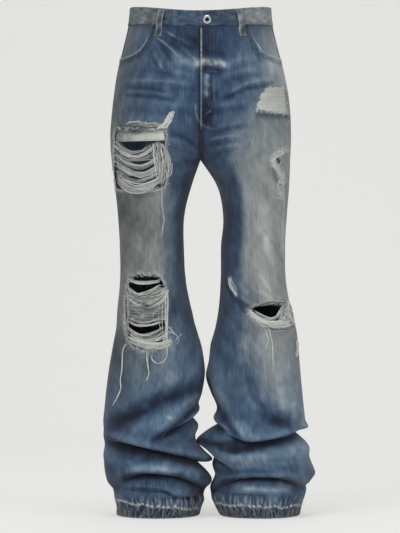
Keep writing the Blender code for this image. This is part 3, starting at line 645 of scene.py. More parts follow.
# Each row is a level, then fade and grey at five places from the outseam to the centre.
washPlaces = (0.0, 0.32, 0.6, 0.76, 1.0)
washCharts = {
    "right": (
        (-20, (0.44, 0.34, 0.24, 0.26, 0.22), (0.7, 0.3, 0.0, 0.0, 0.0)),
        (-60, (0.42, 0.36, 0.24, 0.26, 0.22), (0.6, 0.2, 0.0, 0.0, 0.0)),
        (-100, (0.41, 0.40, 0.38, 0.40, 0.32), (0.6, 0.1, 0.0, 0.0, 0.0)),
        (-150, (0.40, 0.38, 0.39, 0.42, 0.34), (0.7, 0.1, 0.0, 0.0, 0.0)),
        (-190, (0.38, 0.37, 0.44, 0.42, 0.34), (0.8, 0.1, 0.0, 0.0, 0.0)),
        (-250, (0.48, 0.44, 0.44, 0.40, 0.30), (0.9, 0.3, 0.1, 0.05, 0.0)),
        (-310, (0.50, 0.48, 0.50, 0.40, 0.21), (0.95, 0.8, 0.4, 0.1, 0.0)),
        (-370, (0.40, 0.52, 0.62, 0.47, 0.12), (1.0, 1.0, 0.9, 0.4, 0.0)),
        (-435, (0.43, 0.55, 0.66, 0.52, 0.13), (1.0, 1.0, 0.95, 0.45, 0.0)),
        (-500, (0.52, 0.56, 0.60, 0.51, 0.19), (1.0, 1.0, 0.9, 0.45, 0.0)),
        (-600, (0.50, 0.54, 0.50, 0.36, 0.30), (1.0, 0.95, 0.7, 0.3, 0.1)),
        (-660, (0.31, 0.48, 0.52, 0.46, 0.38), (0.8, 0.7, 0.5, 0.1, 0.0)),
        (-720, (0.37, 0.46, 0.58, 0.48, 0.44), (0.5, 0.45, 0.35, 0.05, 0.0)),
        (-780, (0.40, 0.40, 0.44, 0.46, 0.47), (0.2, 0.1, 0.05, 0.0, 0.0)),
        (-830, (0.34, 0.40, 0.44, 0.44, 0.36), (0.0, 0.0, 0.0, 0.0, 0.0)),
        (-900, (0.35, 0.38, 0.38, 0.36, 0.34), (0.0, 0.0, 0.0, 0.0, 0.0)),
        (-960, (0.36, 0.38, 0.37, 0.35, 0.32), (0.0, 0.0, 0.0, 0.0, 0.0)),
        (-1005, (0.32, 0.35, 0.34, 0.32, 0.28), (0.0, 0.0, 0.0, 0.0, 0.0)),
    ),
    "left": (
        (-20, (0.48, 0.38, 0.27, 0.24, 0.22), (0.7, 0.2, 0.0, 0.0, 0.0)),
        (-60, (0.70, 0.49, 0.28, 0.22, 0.20), (0.7, 0.2, 0.0, 0.0, 0.0)),
        (-100, (0.80, 0.54, 0.44, 0.37, 0.26), (0.75, 0.15, 0.0, 0.0, 0.0)),
        (-150, (0.66, 0.48, 0.40, 0.37, 0.33), (0.8, 0.1, 0.0, 0.0, 0.0)),
        (-190, (0.62, 0.56, 0.38, 0.36, 0.29), (0.8, 0.5, 0.05, 0.0, 0.0)),
        (-250, (0.66, 0.62, 0.55, 0.36, 0.28), (0.8, 0.85, 0.5, 0.05, 0.0)),
        (-310, (0.68, 0.67, 0.60, 0.34, 0.26), (0.9, 0.95, 0.7, 0.1, 0.0)),
        (-370, (0.66, 0.72, 0.69, 0.28, 0.19), (0.9, 1.0, 0.8, 0.15, 0.0)),
        (-435, (0.71, 0.74, 0.70, 0.29, 0.19), (0.9, 1.0, 0.85, 0.15, 0.0)),
        (-500, (0.74, 0.75, 0.66, 0.31, 0.20), (0.9, 1.0, 0.85, 0.2, 0.0)),
        (-540, (0.70, 0.72, 0.61, 0.37, 0.24), (0.9, 0.95, 0.8, 0.3, 0.05)),
        (-600, (0.66, 0.66, 0.48, 0.36, 0.29), (0.9, 0.9, 0.5, 0.1, 0.0)),
        (-660, (0.64, 0.70, 0.55, 0.36, 0.35), (0.85, 0.9, 0.6, 0.1, 0.0)),
        (-720, (0.58, 0.68, 0.44, 0.42, 0.42), (0.6, 0.75, 0.2, 0.0, 0.0)),
        (-780, (0.60, 0.52, 0.42, 0.46, 0.45), (0.35, 0.2, 0.0, 0.0, 0.0)),
        (-830, (0.52, 0.40, 0.42, 0.44, 0.36), (0.15, 0.0, 0.0, 0.0, 0.0)),
        (-900, (0.42, 0.43, 0.45, 0.43, 0.40), (0.0, 0.0, 0.0, 0.0, 0.0)),
        (-960, (0.36, 0.38, 0.38, 0.37, 0.34), (0.0, 0.0, 0.0, 0.0, 0.0)),
        (-1005, (0.34, 0.37, 0.36, 0.34, 0.30), (0.0, 0.0, 0.0, 0.0, 0.0)),
    ),
}


# Fade, grey and bare at each point: the chart read smoothly by level and by place across, with the creases'
# wear and painted shade added to the fade.
def washAt(side, points, creaseWearAndShade, tone=0.0, greyShare=1.0):
    x, z = points[..., 0], points[..., 2]
    rows = washCharts[side]
    known = np.array([r[0] for r in rows])[::-1] * mm
    levels = np.array(form["levels"])[::-1] * mm
    outer = np.interp(z, levels, np.array(form["reachOut"][side])[::-1] * mm)
    inner = np.interp(z, levels[:-6], np.array(form["inseam"][side])[::-1] * mm)
    inner = np.where(z > form["crotch"] * mm, 0, inner)
    place = np.clip((outer - x * sideSign[side]) / (outer - inner + 0.001), 0, 1)
    result = []
    for k in (1, 2):
        table = np.array([r[k] for r in rows])[::-1]
        lanes = np.stack([np.interp(z, known, table[:, j]) for j in range(len(washPlaces))], axis=-1)
        value = lanes[..., 0]
        for j in range(len(washPlaces) - 1):
            t = np.clip((place - washPlaces[j]) / (washPlaces[j + 1] - washPlaces[j]), 0, 1)
            value = value + (lanes[..., j + 1] - lanes[..., j]) * smoothStep(t)
        result.append(value)
    blotch = ripple(x, z, 0.05, 31, 1.6) * 0.018 + ripple(x, z, 0.016, 32, 2.2) * 0.014
    fade = result[0] + tone + blotch + washLook["crease"] * np.clip(creaseWearAndShade, -1.5, 0.7)
    grey = np.clip(result[1] * greyShare, 0, 1)
    bare = np.clip(creaseWearAndShade - washLook["bareFrom"], 0, 1) * washLook["bare"]
    return np.stack([fade, grey, bare], axis=-1)


# Shortest distance in X and Z from each point to a line of straight pieces.
def lineDistance(x, z, line):
    line = np.array(line, float) * mm
    best = np.full(x.shape, 9.0)
    for (ax, az), (bx, bz) in zip(line[:-1], line[1:]):
        t = np.clip(((x - ax) * (bx - ax) + (z - az) * (bz - az)) / ((bx - ax) ** 2 + (bz - az) ** 2), 0, 1)
        best = np.minimum(best, np.hypot(x - ax - t * (bx - ax), z - az - t * (bz - az)))
    return best


# Lines where the dye has rubbed off (above 0) or the cloth is darker (below 0), mostly painted
# shade, and where the bare weft shows: width, strength, bare share, points in X and Z.
wornAndShadedLines = (
    # the worn crease over the fly with painted shade above and below it, the haze beside it, and the rubbed
    # strip below it with painted shade in its puckers and along the rise seam
    (5.0, 0.8, 0.3, ((-6, -101.5), (13.5, -99.5), (33.5, -101.5), (47, -105.5))),
    (4.4, 0.2, 0.3, ((7, -96.5), (14.5, -98.5))), (4.6, 0.2, 0.26, ((22.5, -101.5), (29.5, -102.5))),
    (4.0, 0.2, 0.2, ((38.5, -97.5), (46, -101.5))), (5.0, 0.4, 0.1, ((47, -102.5), (57, -106.5))),
    (11.0, 1.0, 0.1, ((-45, -88), (-33.5, -94.5), (-19.5, -100.5), (-8, -103.5))),
    (6.0, -1.0, 0, ((3, -78), (19.5, -80), (39.5, -82))),
    (6.5, -0.8, 0, ((5, -112.5), (21.5, -115.5), (37.5, -117.5))),
    (5.0, 1.5, 0.16, ((12, -128), (14, -146), (12, -164.5))),
    (2.6, -1.2, 0, ((21.5, -119.5), (21.5, -174.5))), (2.2, 0.5, 0.05, ((26.5, -135), (27.5, -176))),
    (9.0, -0.9, 0, ((13.5, -176), (17.5, -217.5))), (3.0, -1.2, 0, ((9, -178), (12, -188))),
    (2.8, -1.2, 0, ((19.5, -194), (21.5, -209.5))), (2.6, -1.0, 0, ((9, -201.5), (13, -213.5))),
    (1.6, 0.4, 0.2, ((-10, -184), (-9, -200), (-5, -213.5), (3, -225.5), (13, -230), (23.5, -232))),
    (3.6, -1.4, 0, ((3, -237), (5, -266.5), (3, -292))), (12.0, 0.7, 0, ((139, -98), (144, -140))),
    (9.0, -0.5, 0, ((-178, -640), (-186, -760))), (10.0, -0.7, 0, ((29.5, -158.5), (33.5, -196))),
    (8.0, -0.5, 0, ((-43, -184), (-39.5, -205.5))),
    # the left knee's crescent and the flap's edge with a painted shadow along it, and the rubbed streaks
    # above it
    (2.6, 0.8, 0.7, ((60, -532.5), (60, -544.5), (65, -555), (71.5, -567))),
    (4.0, 0.4, 0.04, ((74, -566), (92, -578), (108, -584))), (7.0, 0.7, 0, ((80, -546), (90, -564))),
    (6.0, -1.5, 0, ((57, -551), (70, -575), (88, -595.5))),
    (3.4, 0.5, 0.12, ((117, -525.5), (127.5, -536.5), (140.5, -557))),
    (7.0, 0.5, 0.08, ((125.5, -431.5), (135.5, -470.5), (143.5, -500))),
    (2.6, -0.5, 0, ((123.5, -427.5), (147, -463), (167, -500))),
    (2.6, 0.5, 0.14, ((169, -333.5), (168, -402), (165, -470.5))),
    (9.0, 0.4, 0, ((123.5, -386.5), (131.5, -421.5), (137.5, -470.5))),
    # the right thigh's grey panel
    (4.0, -0.5, 0, ((-61, -210.5), (-57, -264.5), (-63, -333.5))),
    (5.0, -0.6, 0, ((-147, -359), (-118, -368.5), (-90.5, -362.5))),
    (10.0, -0.5, 0, ((-174.5, -362.5), (-169, -431.5), (-167, -520))),
    (14.0, -0.4, 0, ((-157, -402), (-127.5, -421.5), (-108, -441.5))),
    (9.0, -0.6, 0, ((-147, -540.5), (-108, -529.5))), (10.0, -0.9, 0, ((-182.5, -657), (-173, -696.5))),
    # the right leg's stack, from the top down: painted shade in its creases and folds, and lighter rolls,
    # partly worn and partly painted highlight
    (14.0, -1.3, 0, ((-177.5, -823), (-153, -814.5), (-129.5, -800.5), (-105, -785), (-81.5, -772),
        (-57, -765), (-33.5, -757.5), (-9, -749.5))),
    (6.0, -0.7, 0, ((-153, -820), (-129.5, -809.5), (-105, -794.5), (-81.5, -780), (-57, -773))),
    (7.0, 0.9, 0, ((-6, -771), (-29.5, -783), (-45, -794.5))),
    (9.0, 0.4, 0, ((-147, -840), (-102, -826), (-61, -804.5))),
    (3.4, 0.8, 0.22, ((-64, -811), (-60, -814))),
    (7.0, -2.8, 0, ((-184, -860), (-157, -873.5), (-129.5, -879), (-105, -882), (-81.5, -886), (-57, -889),
        (-33.5, -897), (-9, -905))),
    (8.0, 0.25, 0, ((-127.5, -906.5), (-88.5, -904.5), (-55, -904.5))),
    (6.0, 0.6, 0, ((-90.5, -912.5), (-55, -916.5), (-31.5, -914.5), (-10, -922.5))),
    (5.5, -1.7, 0, ((-153, -934), (-129.5, -928), (-105, -925), (-81.5, -924), (-57, -927), (-33.5, -935),
        (-9, -947))),
    (3.4, -1.7, 0, ((-137.5, -954.5), (-105, -954.5), (-81.5, -956.5), (-65, -963.5), (-51, -972.5),
        (-33.5, -974.5), (-9, -980))),
    (4.0, 0.5, 0, ((-88.5, -963.5), (-39.5, -959.5))), (9.0, -0.9, 0, ((-186, -834), (-146, -838))),
    (8.0, -1.5, 0, ((-190, -860), (-158, -868))), (11.0, -0.9, 0, ((-156, -893), (-82, -896))),
    (7.0, -0.4, 0, ((-30, -893), (-12, -896))), (11.0, -0.9, 0, ((-186, -915), (-180, -960))),
    (6.0, -0.5, 0, ((-90, -949), (-50, -949))), (13.0, -1.3, 0, ((14, -915), (8, -948), (-16, -978))),
    (9.0, 0.7, 0, ((4, -836), (14, -838))), (8.0, -0.4, 0, ((-150, -975), (-118, -977))),
    (9.0, -0.5, 0, ((-90, -925), (0, -923))),
    (5.0, -1.4, 0, ((-6, -788), (-33, -820), (-57, -836), (-81, -850))),
    (7.0, -0.5, 0, ((-40, -838), (-14, -862), (0, -888))),
    # the left leg's stack, from the top down: painted shade in its creases and folds, and lighter rolls,
    # partly worn and partly painted highlight
    (7.0, -1.7, 0, ((3, -862), (24, -866), (48, -869), (70, -872))),
    (8.0, 1.1, 0, ((74, -826), (84, -844))), (8.0, 0.7, 0, ((160, -948), (186, -950))),
    (8.0, -0.5, 0, ((20, -921), (142, -921))), (8.0, -0.5, 0, ((40, -949), (60, -951))),
    (8.0, -0.5, 0, ((165, -975), (185, -975))),
    (9.0, -0.9, 0, ((103, -739.5), (115, -774), (127.5, -798.5), (139.5, -816.5), (163, -824),
        (187.5, -837))),
    (9.0, 0.7, 0, ((91.5, -753.5), (95, -777))), (8.0, 1.0, 0.05, ((161, -755.5), (165, -790.5))),
    (7.0, 0.8, 0, ((186.5, -789.5), (188.5, -829))),
    (9.0, 0.4, 0, ((19.5, -686.5), (33.5, -736), (47, -775))), (7.0, 1.0, 0, ((49, -840), (65, -855.5))),
    (7.0, 0.6, 0, ((88.5, -826), (98, -843.5))), (5.0, -0.8, 0, ((43, -816.5), (65, -840), (68.5, -861.5))),
    (6.5, -2.6, 0, ((43, -875), (67, -880), (91.5, -875), (115, -868.5), (139.5, -863.5), (163, -857.5),
        (187.5, -849.5))),
    (8.0, 0.4, 0, ((108, -887), (147, -880), (186.5, -875))),
    (4.0, -0.5, 0, ((137.5, -896), (163, -897.5), (187.5, -894))),
    (5.0, 0.5, 0, ((21.5, -912.5), (59, -914.5), (108, -910.5), (176.5, -920.5))),
    (4.6, -2.1, 0, ((43, -942), (67, -938), (91.5, -934), (115, -934), (139.5, -934), (163, -935),
        (187.5, -942))),
    (6.0, 1.2, 0, ((88.5, -953.5), (127.5, -955.5), (176.5, -957.5))),
)

hipPatch = {
    "corners": ((128.5, -150.5), (169, -145), (177.5, -202.5), (111, -195)),
    "edge": 2.5, "threads": 84, "ends": 120,
}
sideFray = {
    "line": ((174.5, -270.5), (163, -277.5), (149, -290), (145.5, -303), (159, -314.5), (166, -329.5),
        (162, -348), (163, -368.5)),
    "holes": ((156, -295, 4.4, 7.5), (163, -322.5, 3.6, 6.5), (161, -346, 2.8, 5.5)),
    "shadow": ((143.5, -308), (147, -321.5), (153, -337)),
    "rings": 5, "strands": 34, "ends": 90, "outmost": 181,
}
# level of the old hem's worn fold, and its rise to the outer side
hemLine = {"right": (-990, 9), "left": (-990, -3)}
hemLook = {
    "worn": -968, "wornRun": 12,      # the upright strokes start here and are in full this far below
    "fold": 2.1, "raw": 2.2,          # half widths of the pale fold line and of the pale raw edge
    "strip": 5,                       # the darker strip below the fold is in full this far below it
    "girth": 0.09,                    # metres round a leg's hem to the radian
}


# How far inside the patch each point is: the least distance to its four sides.
def insidePatch(x, z):
    corners = np.array(hipPatch["corners"], float) * mm
    inside = np.full(x.shape, 9.0)
    for (ax, az), (bx, bz) in zip(corners, np.roll(corners, -1, axis=0)):
        across = (z - az) * (bx - ax) - (x - ax) * (bz - az)
        inside = np.minimum(inside, -across / math.hypot(bx - ax, bz - az))
    return inside


# Adds the let-down hem's marks to a panel's wash: the uneven worn fold, upright worn
# strokes from above it down to the edge, a darker strip below it and the pale raw edge.
def markHem(side, level, angle, washAndShade):
    at, rise = hemLine[side]
    look = hemLook
    across = angle * look["girth"]
    line = level - (at + rise * np.cos(angle)) * mm
    line = line + 1.3 * mm * ripple(across, 0 * level, 0.016, 53)
    stroke = np.clip(ripple(across, level * 0.09, 0.0042, 51, 1.0, 16) - 0.1, 0, 1.3)
    band = np.clip((look["worn"] * mm - level) / (look["wornRun"] * mm), 0, 1)
    torn = np.clip(ripple(across, level * 0.3, 0.009, 52, 1.0, 12) * 0.5 + 0.7, 0.12, 1)
    below = np.clip(-line / (look["strip"] * mm), 0, 1)
    washAndShade[..., 2] += 0.8 * torn * gauss(line, look["fold"] * mm) + 0.17 * band * stroke
    washAndShade[..., 2] += 0.4 * torn * gauss(level - form["hem"] * mm, look["raw"] * mm)
    washAndShade[..., 0] += band * (0.10 * stroke - 0.03) - 0.12 * below


# Adds the marks to a front panel's wash: worn lines and lines of painted shade, bare cloth round
# the rips, the patch with a painted shadow under it, the side fray with a painted shadow beside it
# and its small holes painted dark, painted shade in the creases with worn rolls beside them, and
# the hem's line.
def markFront(side, level, angle, points, washAndShade):
    x, z = points[..., 0], points[..., 2]
    broken = np.clip(0.8 + 0.3 * ripple(x, z, 0.006, 40), 0.2, 1.2)
    cloudy = np.clip(0.95 + 0.16 * ripple(x, z, 0.024, 42), 0.5, 1.3)
    streaky = np.clip(0.8 + 0.25 * ripple(x, z, 0.011, 43), 0.3, 1.3)
    for width, strength, bare, line in wornAndShadedLines:
        near = gauss(lineDistance(x, z, line), width * mm) * (broken if width < 3 else cloudy)
        near = near * (streaky if bare > 0.15 and width > 4 else 1)
        washAndShade[..., 0] += washLook["crease"] * strength * near
        washAndShade[..., 2] += bare * near
    for rip in rips.values():
        if rip["side"] == side:
            share = ripShare(rip, x, z)
            away = (share - 1) * min(rip["halfWide"], rip["halfHigh"])
            washAndShade[..., 2] += 0.65 * gauss(away, 3.0) * (0.7 + 0.3 * ripple(x, z, 0.008, 41))
            washAndShade[..., 0] += 0.05 * gauss(away, 12.0)
    washAndShade[..., 0] -= foldLook["shade"] * foldShadeAndWear(side, level, angle)
    markHem(side, level, angle, washAndShade)
    if side == "left":
        inside = insidePatch(x, z) + 1.5 * mm * ripple(x, z, 0.012, 61)
        washAndShade[..., 2] += 0.95 * np.clip(inside / (hipPatch["edge"] * mm) + 0.4, 0, 1)
        # painted shadow under the patch's lower edge
        washAndShade[..., 0] -= 0.2 * gauss(z + 0.204, 0.0065) * np.clip((x - 0.106) / 0.01, 0, 1)
        near = gauss(lineDistance(x, z, sideFray["line"]), 5 * mm)
        washAndShade[..., 2] += 0.8 * near * (0.7 + 0.3 * ripple(x, z, 0.009, 62))
        washAndShade[..., 0] -= 0.16 * gauss(lineDistance(x, z, sideFray["shadow"]), 4 * mm)
        # the small holes are not cut: each is painted dark, standing in for the shade inside it
        for hx, hz, wide, high in sideFray["holes"]:
            hole = np.exp(-((((x - hx * mm) / (wide * mm)) ** 2 + ((z - hz * mm) / (high * mm)) ** 2) ** 2))
            washAndShade[..., 2] *= 1 - hole
            washAndShade[..., 0] -= 0.6 * hole
    washAndShade[..., 0] = np.clip(washAndShade[..., 0], 0.02, 1)
    washAndShade[..., 2] = np.clip(washAndShade[..., 2], 0, 1)
    return washAndShade


panels = {
    "columns": 150,       # round a front panel
    "backColumns": 110,
    "rows": {"top": 46, "hip": 20, "rise": 44, "thigh": 186, "stack": 196},
    "backRows": {"top": 28, "hip": 12, "rise": 26, "thigh": 110, "stack": 150},
    "stackTop": -745,
    "limpness": 0.9,      # mm of soft unevenness all over
    "edgeGap": 0.0006,    # share of a half turn left open beside each long seam
    "mouth": ((97, -6), (100, -26), (104, -41), (111, -58), (123, -74), (140, -83), (164, -89), (200, -92)),
}


# Level of a front panel's upper edge at each turn: the waist seam, then down the pocket mouth.
def mouthLevel(side, turn):
    mouth = np.array(panels["mouth"]) * mm
    across = sectionAt(side, np.full_like(turn, -0.04))
    x = across[0] + across[1] * np.cos(turn * across[4])
    return np.minimum(np.interp(x, mouth[:, 0], mouth[:, 1]), form["bandBottom"] * mm - seam)


# Level of the yoke seam: it falls in a straight line from the outseam to the centre back.
def yokeLevel(turn, shift=0.0):
    return -44 * mm - 40 * mm * turn + shift


# Level and angle grids of a panel between an upper edge and the hem: straight rows below
# -130 mm, and rows that spread evenly from the upper edge to there.
def panelGrid(side, turn, top, rows):
    upper = np.linspace(0, 1, rows["top"])[:, None]
    start = top[None] + (-0.13 - top[None]) * upper
    hook = form["crotch"] * mm + form["riseHook"] * mm * (1 - np.cos(np.linspace(np.pi / 2, 0, rows["rise"])))
    below = np.concatenate([
        np.linspace(-0.132, hook[0] + 0.002, rows["hip"]), hook,
        form["crotch"] * mm - np.linspace(0, 1, rows["thigh"])[1:] ** 1.15
        * (form["crotch"] - panels["stackTop"]) * mm,
        np.linspace(panels["stackTop"], form["hem"], rows["stack"])[1:] * mm,
    ])
    level = np.concatenate([start, np.repeat(below[:, None], len(turn), axis=1)])
    turns = np.broadcast_to(turn, level.shape)
    return level, turns * sectionAt(side, level)[4]


# Cloth coordinates in metres: distance travelled across each row and down each column.
def clothUv(points):
    across = np.linalg.norm(np.diff(points, axis=1), axis=-1)
    down = np.linalg.norm(np.diff(points, axis=0), axis=-1)
    u = np.concatenate([np.zeros((points.shape[0], 1)), np.cumsum(across, axis=1)], axis=1)
    u = u - u.mean(axis=1, keepdims=True)
    v = -np.concatenate([np.zeros((1, points.shape[1])), np.cumsum(down, axis=0)])
    return np.stack([u, v], axis=-1)


# Removes the quads inside each torn outline, and draws the points along the cut onto it.
def tearOut(side, points, faces):
    flat = points.reshape(-1, 3)
    for rip in rips.values():
        if rip["side"] != side:
            continue
        front = flat[:, 1] < 0.0
        share = np.where(front, ripShare(rip, flat[:, 0], flat[:, 2]), 9.0)
        inside = share[faces].mean(axis=1) < 1
        edge = np.zeros(len(flat), bool)
        edge[faces[inside].ravel()] = True
        kept = np.zeros(len(flat), bool)
        kept[faces[~inside].ravel()] = True
        rim = np.nonzero(edge & kept)[0]
        centre = np.array([rip["x"] * mm, rip["z"] * mm])
        offset = flat[rim][:, [0, 2]] - centre
        flat[rim[:, None], [0, 2]] = centre + offset / share[rim][:, None]
        faces = faces[~inside]
    return flat.reshape(points.shape), faces


# Soft unevenness of the loose cloth: a broad and a fine ripple, none beside the waist.
def softness(level, x, z, broad, fine):
    loose = np.clip((-0.05 - level) / 0.1, 0, 1) * panels["limpness"] * mm
    return loose * (ripple(x, z, 0.09, broad, 1.8) + 0.4 * ripple(x, z, 0.03, fine)) * 0.5


# A front panel: the folded cloth, raised along its normals by creases, a soft unevenness,
# the rolled edge of the pocket mouth and the lap of the fly.
def makeFront(side):
    turn = np.linspace(-1, -0.0001, panels["columns"])
    level, angle = panelGrid(side, turn, mouthLevel(side, turn), panels["rows"])
    points = clothPoint(side, level, angle)
    x, z = points[..., 0], points[..., 2]
    height, wearAndShade = creaseField(x, z)
    edge = np.clip(np.minimum(turn + 1, -turn) / 0.05, 0, 1)
    mouth = lineDistance(x, z, [(sideSign[side] * mx, mz) for mx, mz in panels["mouth"]])
    pucker = ripple(x, z, 0.010, 71)
    roll = 1.3 * mm * gauss(mouth, 3.5 * mm) - 0.5 * mm * gauss(mouth - 11 * mm, 4 * mm) * (1 + 0.5 * pucker)
    opening = np.clip(np.minimum(-0.018 - level, level + 0.235) / 0.01, 0, 1)
    centre = np.abs(x)
    lap = (1.5 if side == "left" else -1.3) * mm * gauss(centre, 5.5 * mm) * opening
    raised = (height + softness(level, x, z, 3, 4)) * edge + roll + lap
    points = points + clothNormal(side, level, angle) * raised[..., None]
    uv = clothUv(points)
    washAndShade = washAt(side, points, wearAndShade)
    washAndShade[..., 2] += 0.26 * gauss(mouth, 1.8 * mm) * (0.9 + 0.12 * pucker)
    # painted shade below the pocket mouth's rolled edge, uneven with the puckers
    washAndShade[..., 0] += gauss(mouth - 7 * mm, 5 * mm) * (0.03 * pucker - 0.12)
    if side == "left":
        fading = np.interp(level, [-0.2, -0.11, -0.08, -0.02], [0.3, 0.42, 0.6, 0.6])
        flyEdge = gauss(centre - 1.0 * mm, 1.3 * mm) * opening
        washAndShade[..., 2] += fading * flyEdge * np.clip(0.9 + 0.12 * pucker, 0, 1)
        # painted shadow beside the fly's lapped edge
        washAndShade[..., 0] -= 0.08 * gauss(centre - 9 * mm, 5 * mm) * opening
    else:
        # painted shadow down the centre of the right front, beside the left front's lapped edge
        fading = np.clip((-0.02 - level) / 0.01, 0, 1) * np.clip((level + 0.5) / 0.1, 0, 1)
        washAndShade[..., 0] -= 0.2 * gauss(centre, 5 * mm) * fading
    washAndShade = markFront(side, level, angle, points, washAndShade)
    points, faces = tearOut(side, points, gridFaces(*level.shape, flip=side == "right"))
    piece = addMesh(f"front_{side}_cloth", points, faces, denim, uv, washAndShade, form["cloth"] * mm, rimOnly=True)
    return finishPiece(piece, "washed_denim", f"front_{side}")


# A back panel: the folded cloth with a soft unevenness, and the wash with the folds' painted shade but
# without the front's marks.
def makeBack(side):
    turn = np.linspace(panels["edgeGap"], 1 - panels["edgeGap"], panels["backColumns"])
    level, angle = panelGrid(side, turn, yokeLevel(turn, -seam), panels["backRows"])
    points = clothPoint(side, level, angle)
    edge = np.clip(np.minimum(turn, 1 - turn) / 0.05, 0, 1)
    lump = softness(level, points[..., 0], points[..., 2], 13, 14)
    points = points + clothNormal(side, level, angle) * (lump * edge)[..., None]
    washAndShade = washAt(side, points, np.zeros(level.shape), 0.03, 0.6)
    washAndShade[..., 0] -= foldLook["shade"] * foldShadeAndWear(side, level, angle)
    markHem(side, level, angle, washAndShade)
    washAndShade[..., 2] = np.clip(washAndShade[..., 2], 0, 1)
    faces = gridFaces(*level.shape, flip=side == "right")
    piece = addMesh(f"back_{side}_cloth", points, faces, denim, clothUv(points), washAndShade, form["cloth"] * mm,
        rimOnly=True)
    return finishPiece(piece, "washed_denim", f"back_{side}")


# A strip of cloth on the leg's surface from the waist seam down to an edge of level, moved
# out by lift.
def makeStrip(name, side, turn, bottom, rows, lift, node, slot, material, tone=0.0, greyShare=1.0,
    thickness=None):
    top = form["bandBottom"] * mm - seam
    level = top + (bottom - top) * np.linspace(0, 1, rows)[:, None]
    angle = np.broadcast_to(turn, level.shape) * sectionAt(side, level)[4]
    points = clothPoint(side, level, angle) + clothNormal(side, level, angle) * lift
    washAndShade = washAt(side, points, np.zeros(level.shape), tone, greyShare)
    wall = form["cloth"] * mm if thickness is None else thickness
    faces = gridFaces(*level.shape, flip=side == "right")
    return finishPiece(addMesh(name, points, faces, material, clothUv(points), washAndShade, wall), slot, node)


fronts = {side: makeFront(side) for side in sideSign}
backs = {side: makeBack(side) for side in sideSign}
print("leg panels made")

# Where the yokes, facings and bags run round each side, in half turns from the outseam.
stripTurns = {
    "yoke": np.linspace(panels["edgeGap"], 1 - panels["edgeGap"], 60),
    "facing": np.linspace(-0.64, -panels["edgeGap"], 40),
    "bag": np.linspace(-0.70, -0.01, 40),
}
bagFoot = -0.257
for side in sideSign:
    turn = stripTurns["yoke"]
    makeStrip(
        f"yoke_{side}_cloth", side, turn, yokeLevel(turn, seam), 16, 0,
        f"yoke_{side}", "washed_denim", denim, -0.03, 0.8)
    turn = stripTurns["facing"]
    foot = np.minimum(mouthLevel(side, turn) - 0.016, -0.075 - 0.02 * (turn + 0.64))
    makeStrip(
        f"pocket_facing_{side}_cloth", side, turn, foot, 26, -2.0 * mm,
        f"pocket_facing_{side}", "faded_denim", denim, 0.02, 1.0)
    turn = stripTurns["bag"]
    makeStrip(
        f"pocket_bag_{side}_cotton", side, turn, np.full(len(turn), bagFoot), 40, -3.9 * mm,
        f"pocket_bag_{side}", "pocket_cotton", pocketCotton, thickness=0.8 * mm)
print("yokes, facings and pocket bags made")

waistband = {
    "lift": 1.2, "thickness": 2.6, "columns": 220, "rows": 12,
    "start": -91.2, "lap": 376,                        # degrees: where it starts and how far it runs
    "tuckFrom": 332, "tuckRun": 24, "tuck": 3.2,       # the far end steps in under the near one
}


# Point on the waistband's ellipse at a level and an angle round the waist, moved out by lift.
def bandPoint(level, angle, lift):
    _, halfWide, middle, halfDeep, _ = sectionAt("left", level)
    across, along = np.cos(angle) * halfDeep, np.sin(angle) * halfWide
    long = np.hypot(across, along)
    fade = np.where(level > form["bandBottom"] * mm, form["bandFade"] * mm, form["clothFade"] * mm)
    x = halfWide * np.cos(angle) + lift * across / long
    y = middle + halfDeep * np.sin(angle) + lift * along / long
    return np.stack([x, y, level - frontDip(level, angle, fade)], axis=-1)


# A strip round the waist at a lift outside the ellipse; its far end tucks under its near end.
def makeWaistband(spec):
    degrees = np.linspace(spec["start"], spec["start"] + spec["lap"], spec["columns"])
    levels = np.linspace(form["bandTop"], form["bandBottom"], spec["rows"]) * mm
    level, angle = np.meshgrid(levels, np.radians(degrees), indexing="ij")
    tuck = smoothStep(np.clip((degrees - spec["start"] - spec["tuckFrom"]) / spec["tuckRun"], 0, 1))
    puff = 0.35 * mm * ripple(angle * 0.15, level, 0.05, 21)
    points = bandPoint(level, angle, spec["lift"] * mm - spec["tuck"] * mm * tuck + puff)
    across = np.cos(angle)
    side = np.abs(across)
    streak = gauss(degrees - 249.5, 1.4)
    fade = 0.36 + 0.12 * np.clip((side - 0.45) / 0.2, 0, 1) + 0.16 * streak
    fade = fade + 0.05 * ripple(angle * 0.15, level * 3, 0.03, 22)
    fade = fade + 0.16 * np.clip((across - 0.45) / 0.3, 0, 1) - 0.05 * gauss(across - 0.3, 0.15)
    fade = fade + 0.06 * gauss(across + 0.8, 0.1) - 0.05 * gauss(across + 1.0, 0.06)
    grey = np.clip((side - 0.35) / 0.3, 0.25, 0.85)
    washAndShade = np.stack([fade, grey, 0 * fade], axis=-1)
    faces = gridFaces(*level.shape)
    piece = addMesh("waistband_cloth", points, faces, denim, clothUv(points), washAndShade, spec["thickness"] * mm)
    return finishPiece(piece, "faded_denim", "waistband")


band = makeWaistband(waistband)
print("waistband made")

# The point on the front or back at a given X and Z, moved out by lift: the level is
# stepped back by the waist's dip, and the angle read from the ellipse of that level.
def spotAt(side, x, z, lift=0.0, back=False):
    x, z = np.broadcast_arrays(np.asarray(x, float), np.asarray(z, float))
    across = x * sideSign[side] - seam / 2
    level = z
    for _ in range(2):
        angle = angleAt(side, level, across, back)
        level = z + frontDip(level, angle, form["clothFade"] * mm)
    return clothPoint(side, level, angle) + clothNormal(side, level, angle) * np.asarray(lift)[..., None]


# Smooth wandering along each path: three sines with random phases for each thread.
def wander(count, steps, size, local):
    t = np.linspace(0, 1, steps)[None]
    total = 0
    for k in (1, 2, 4):
        total = total + np.sin(2 * np.pi * (k * local.uniform(0.5, 1.2, (count, 1)) * t
            + local.uniform(0, 1, (count, 1)))) / k
    return total * size * mm


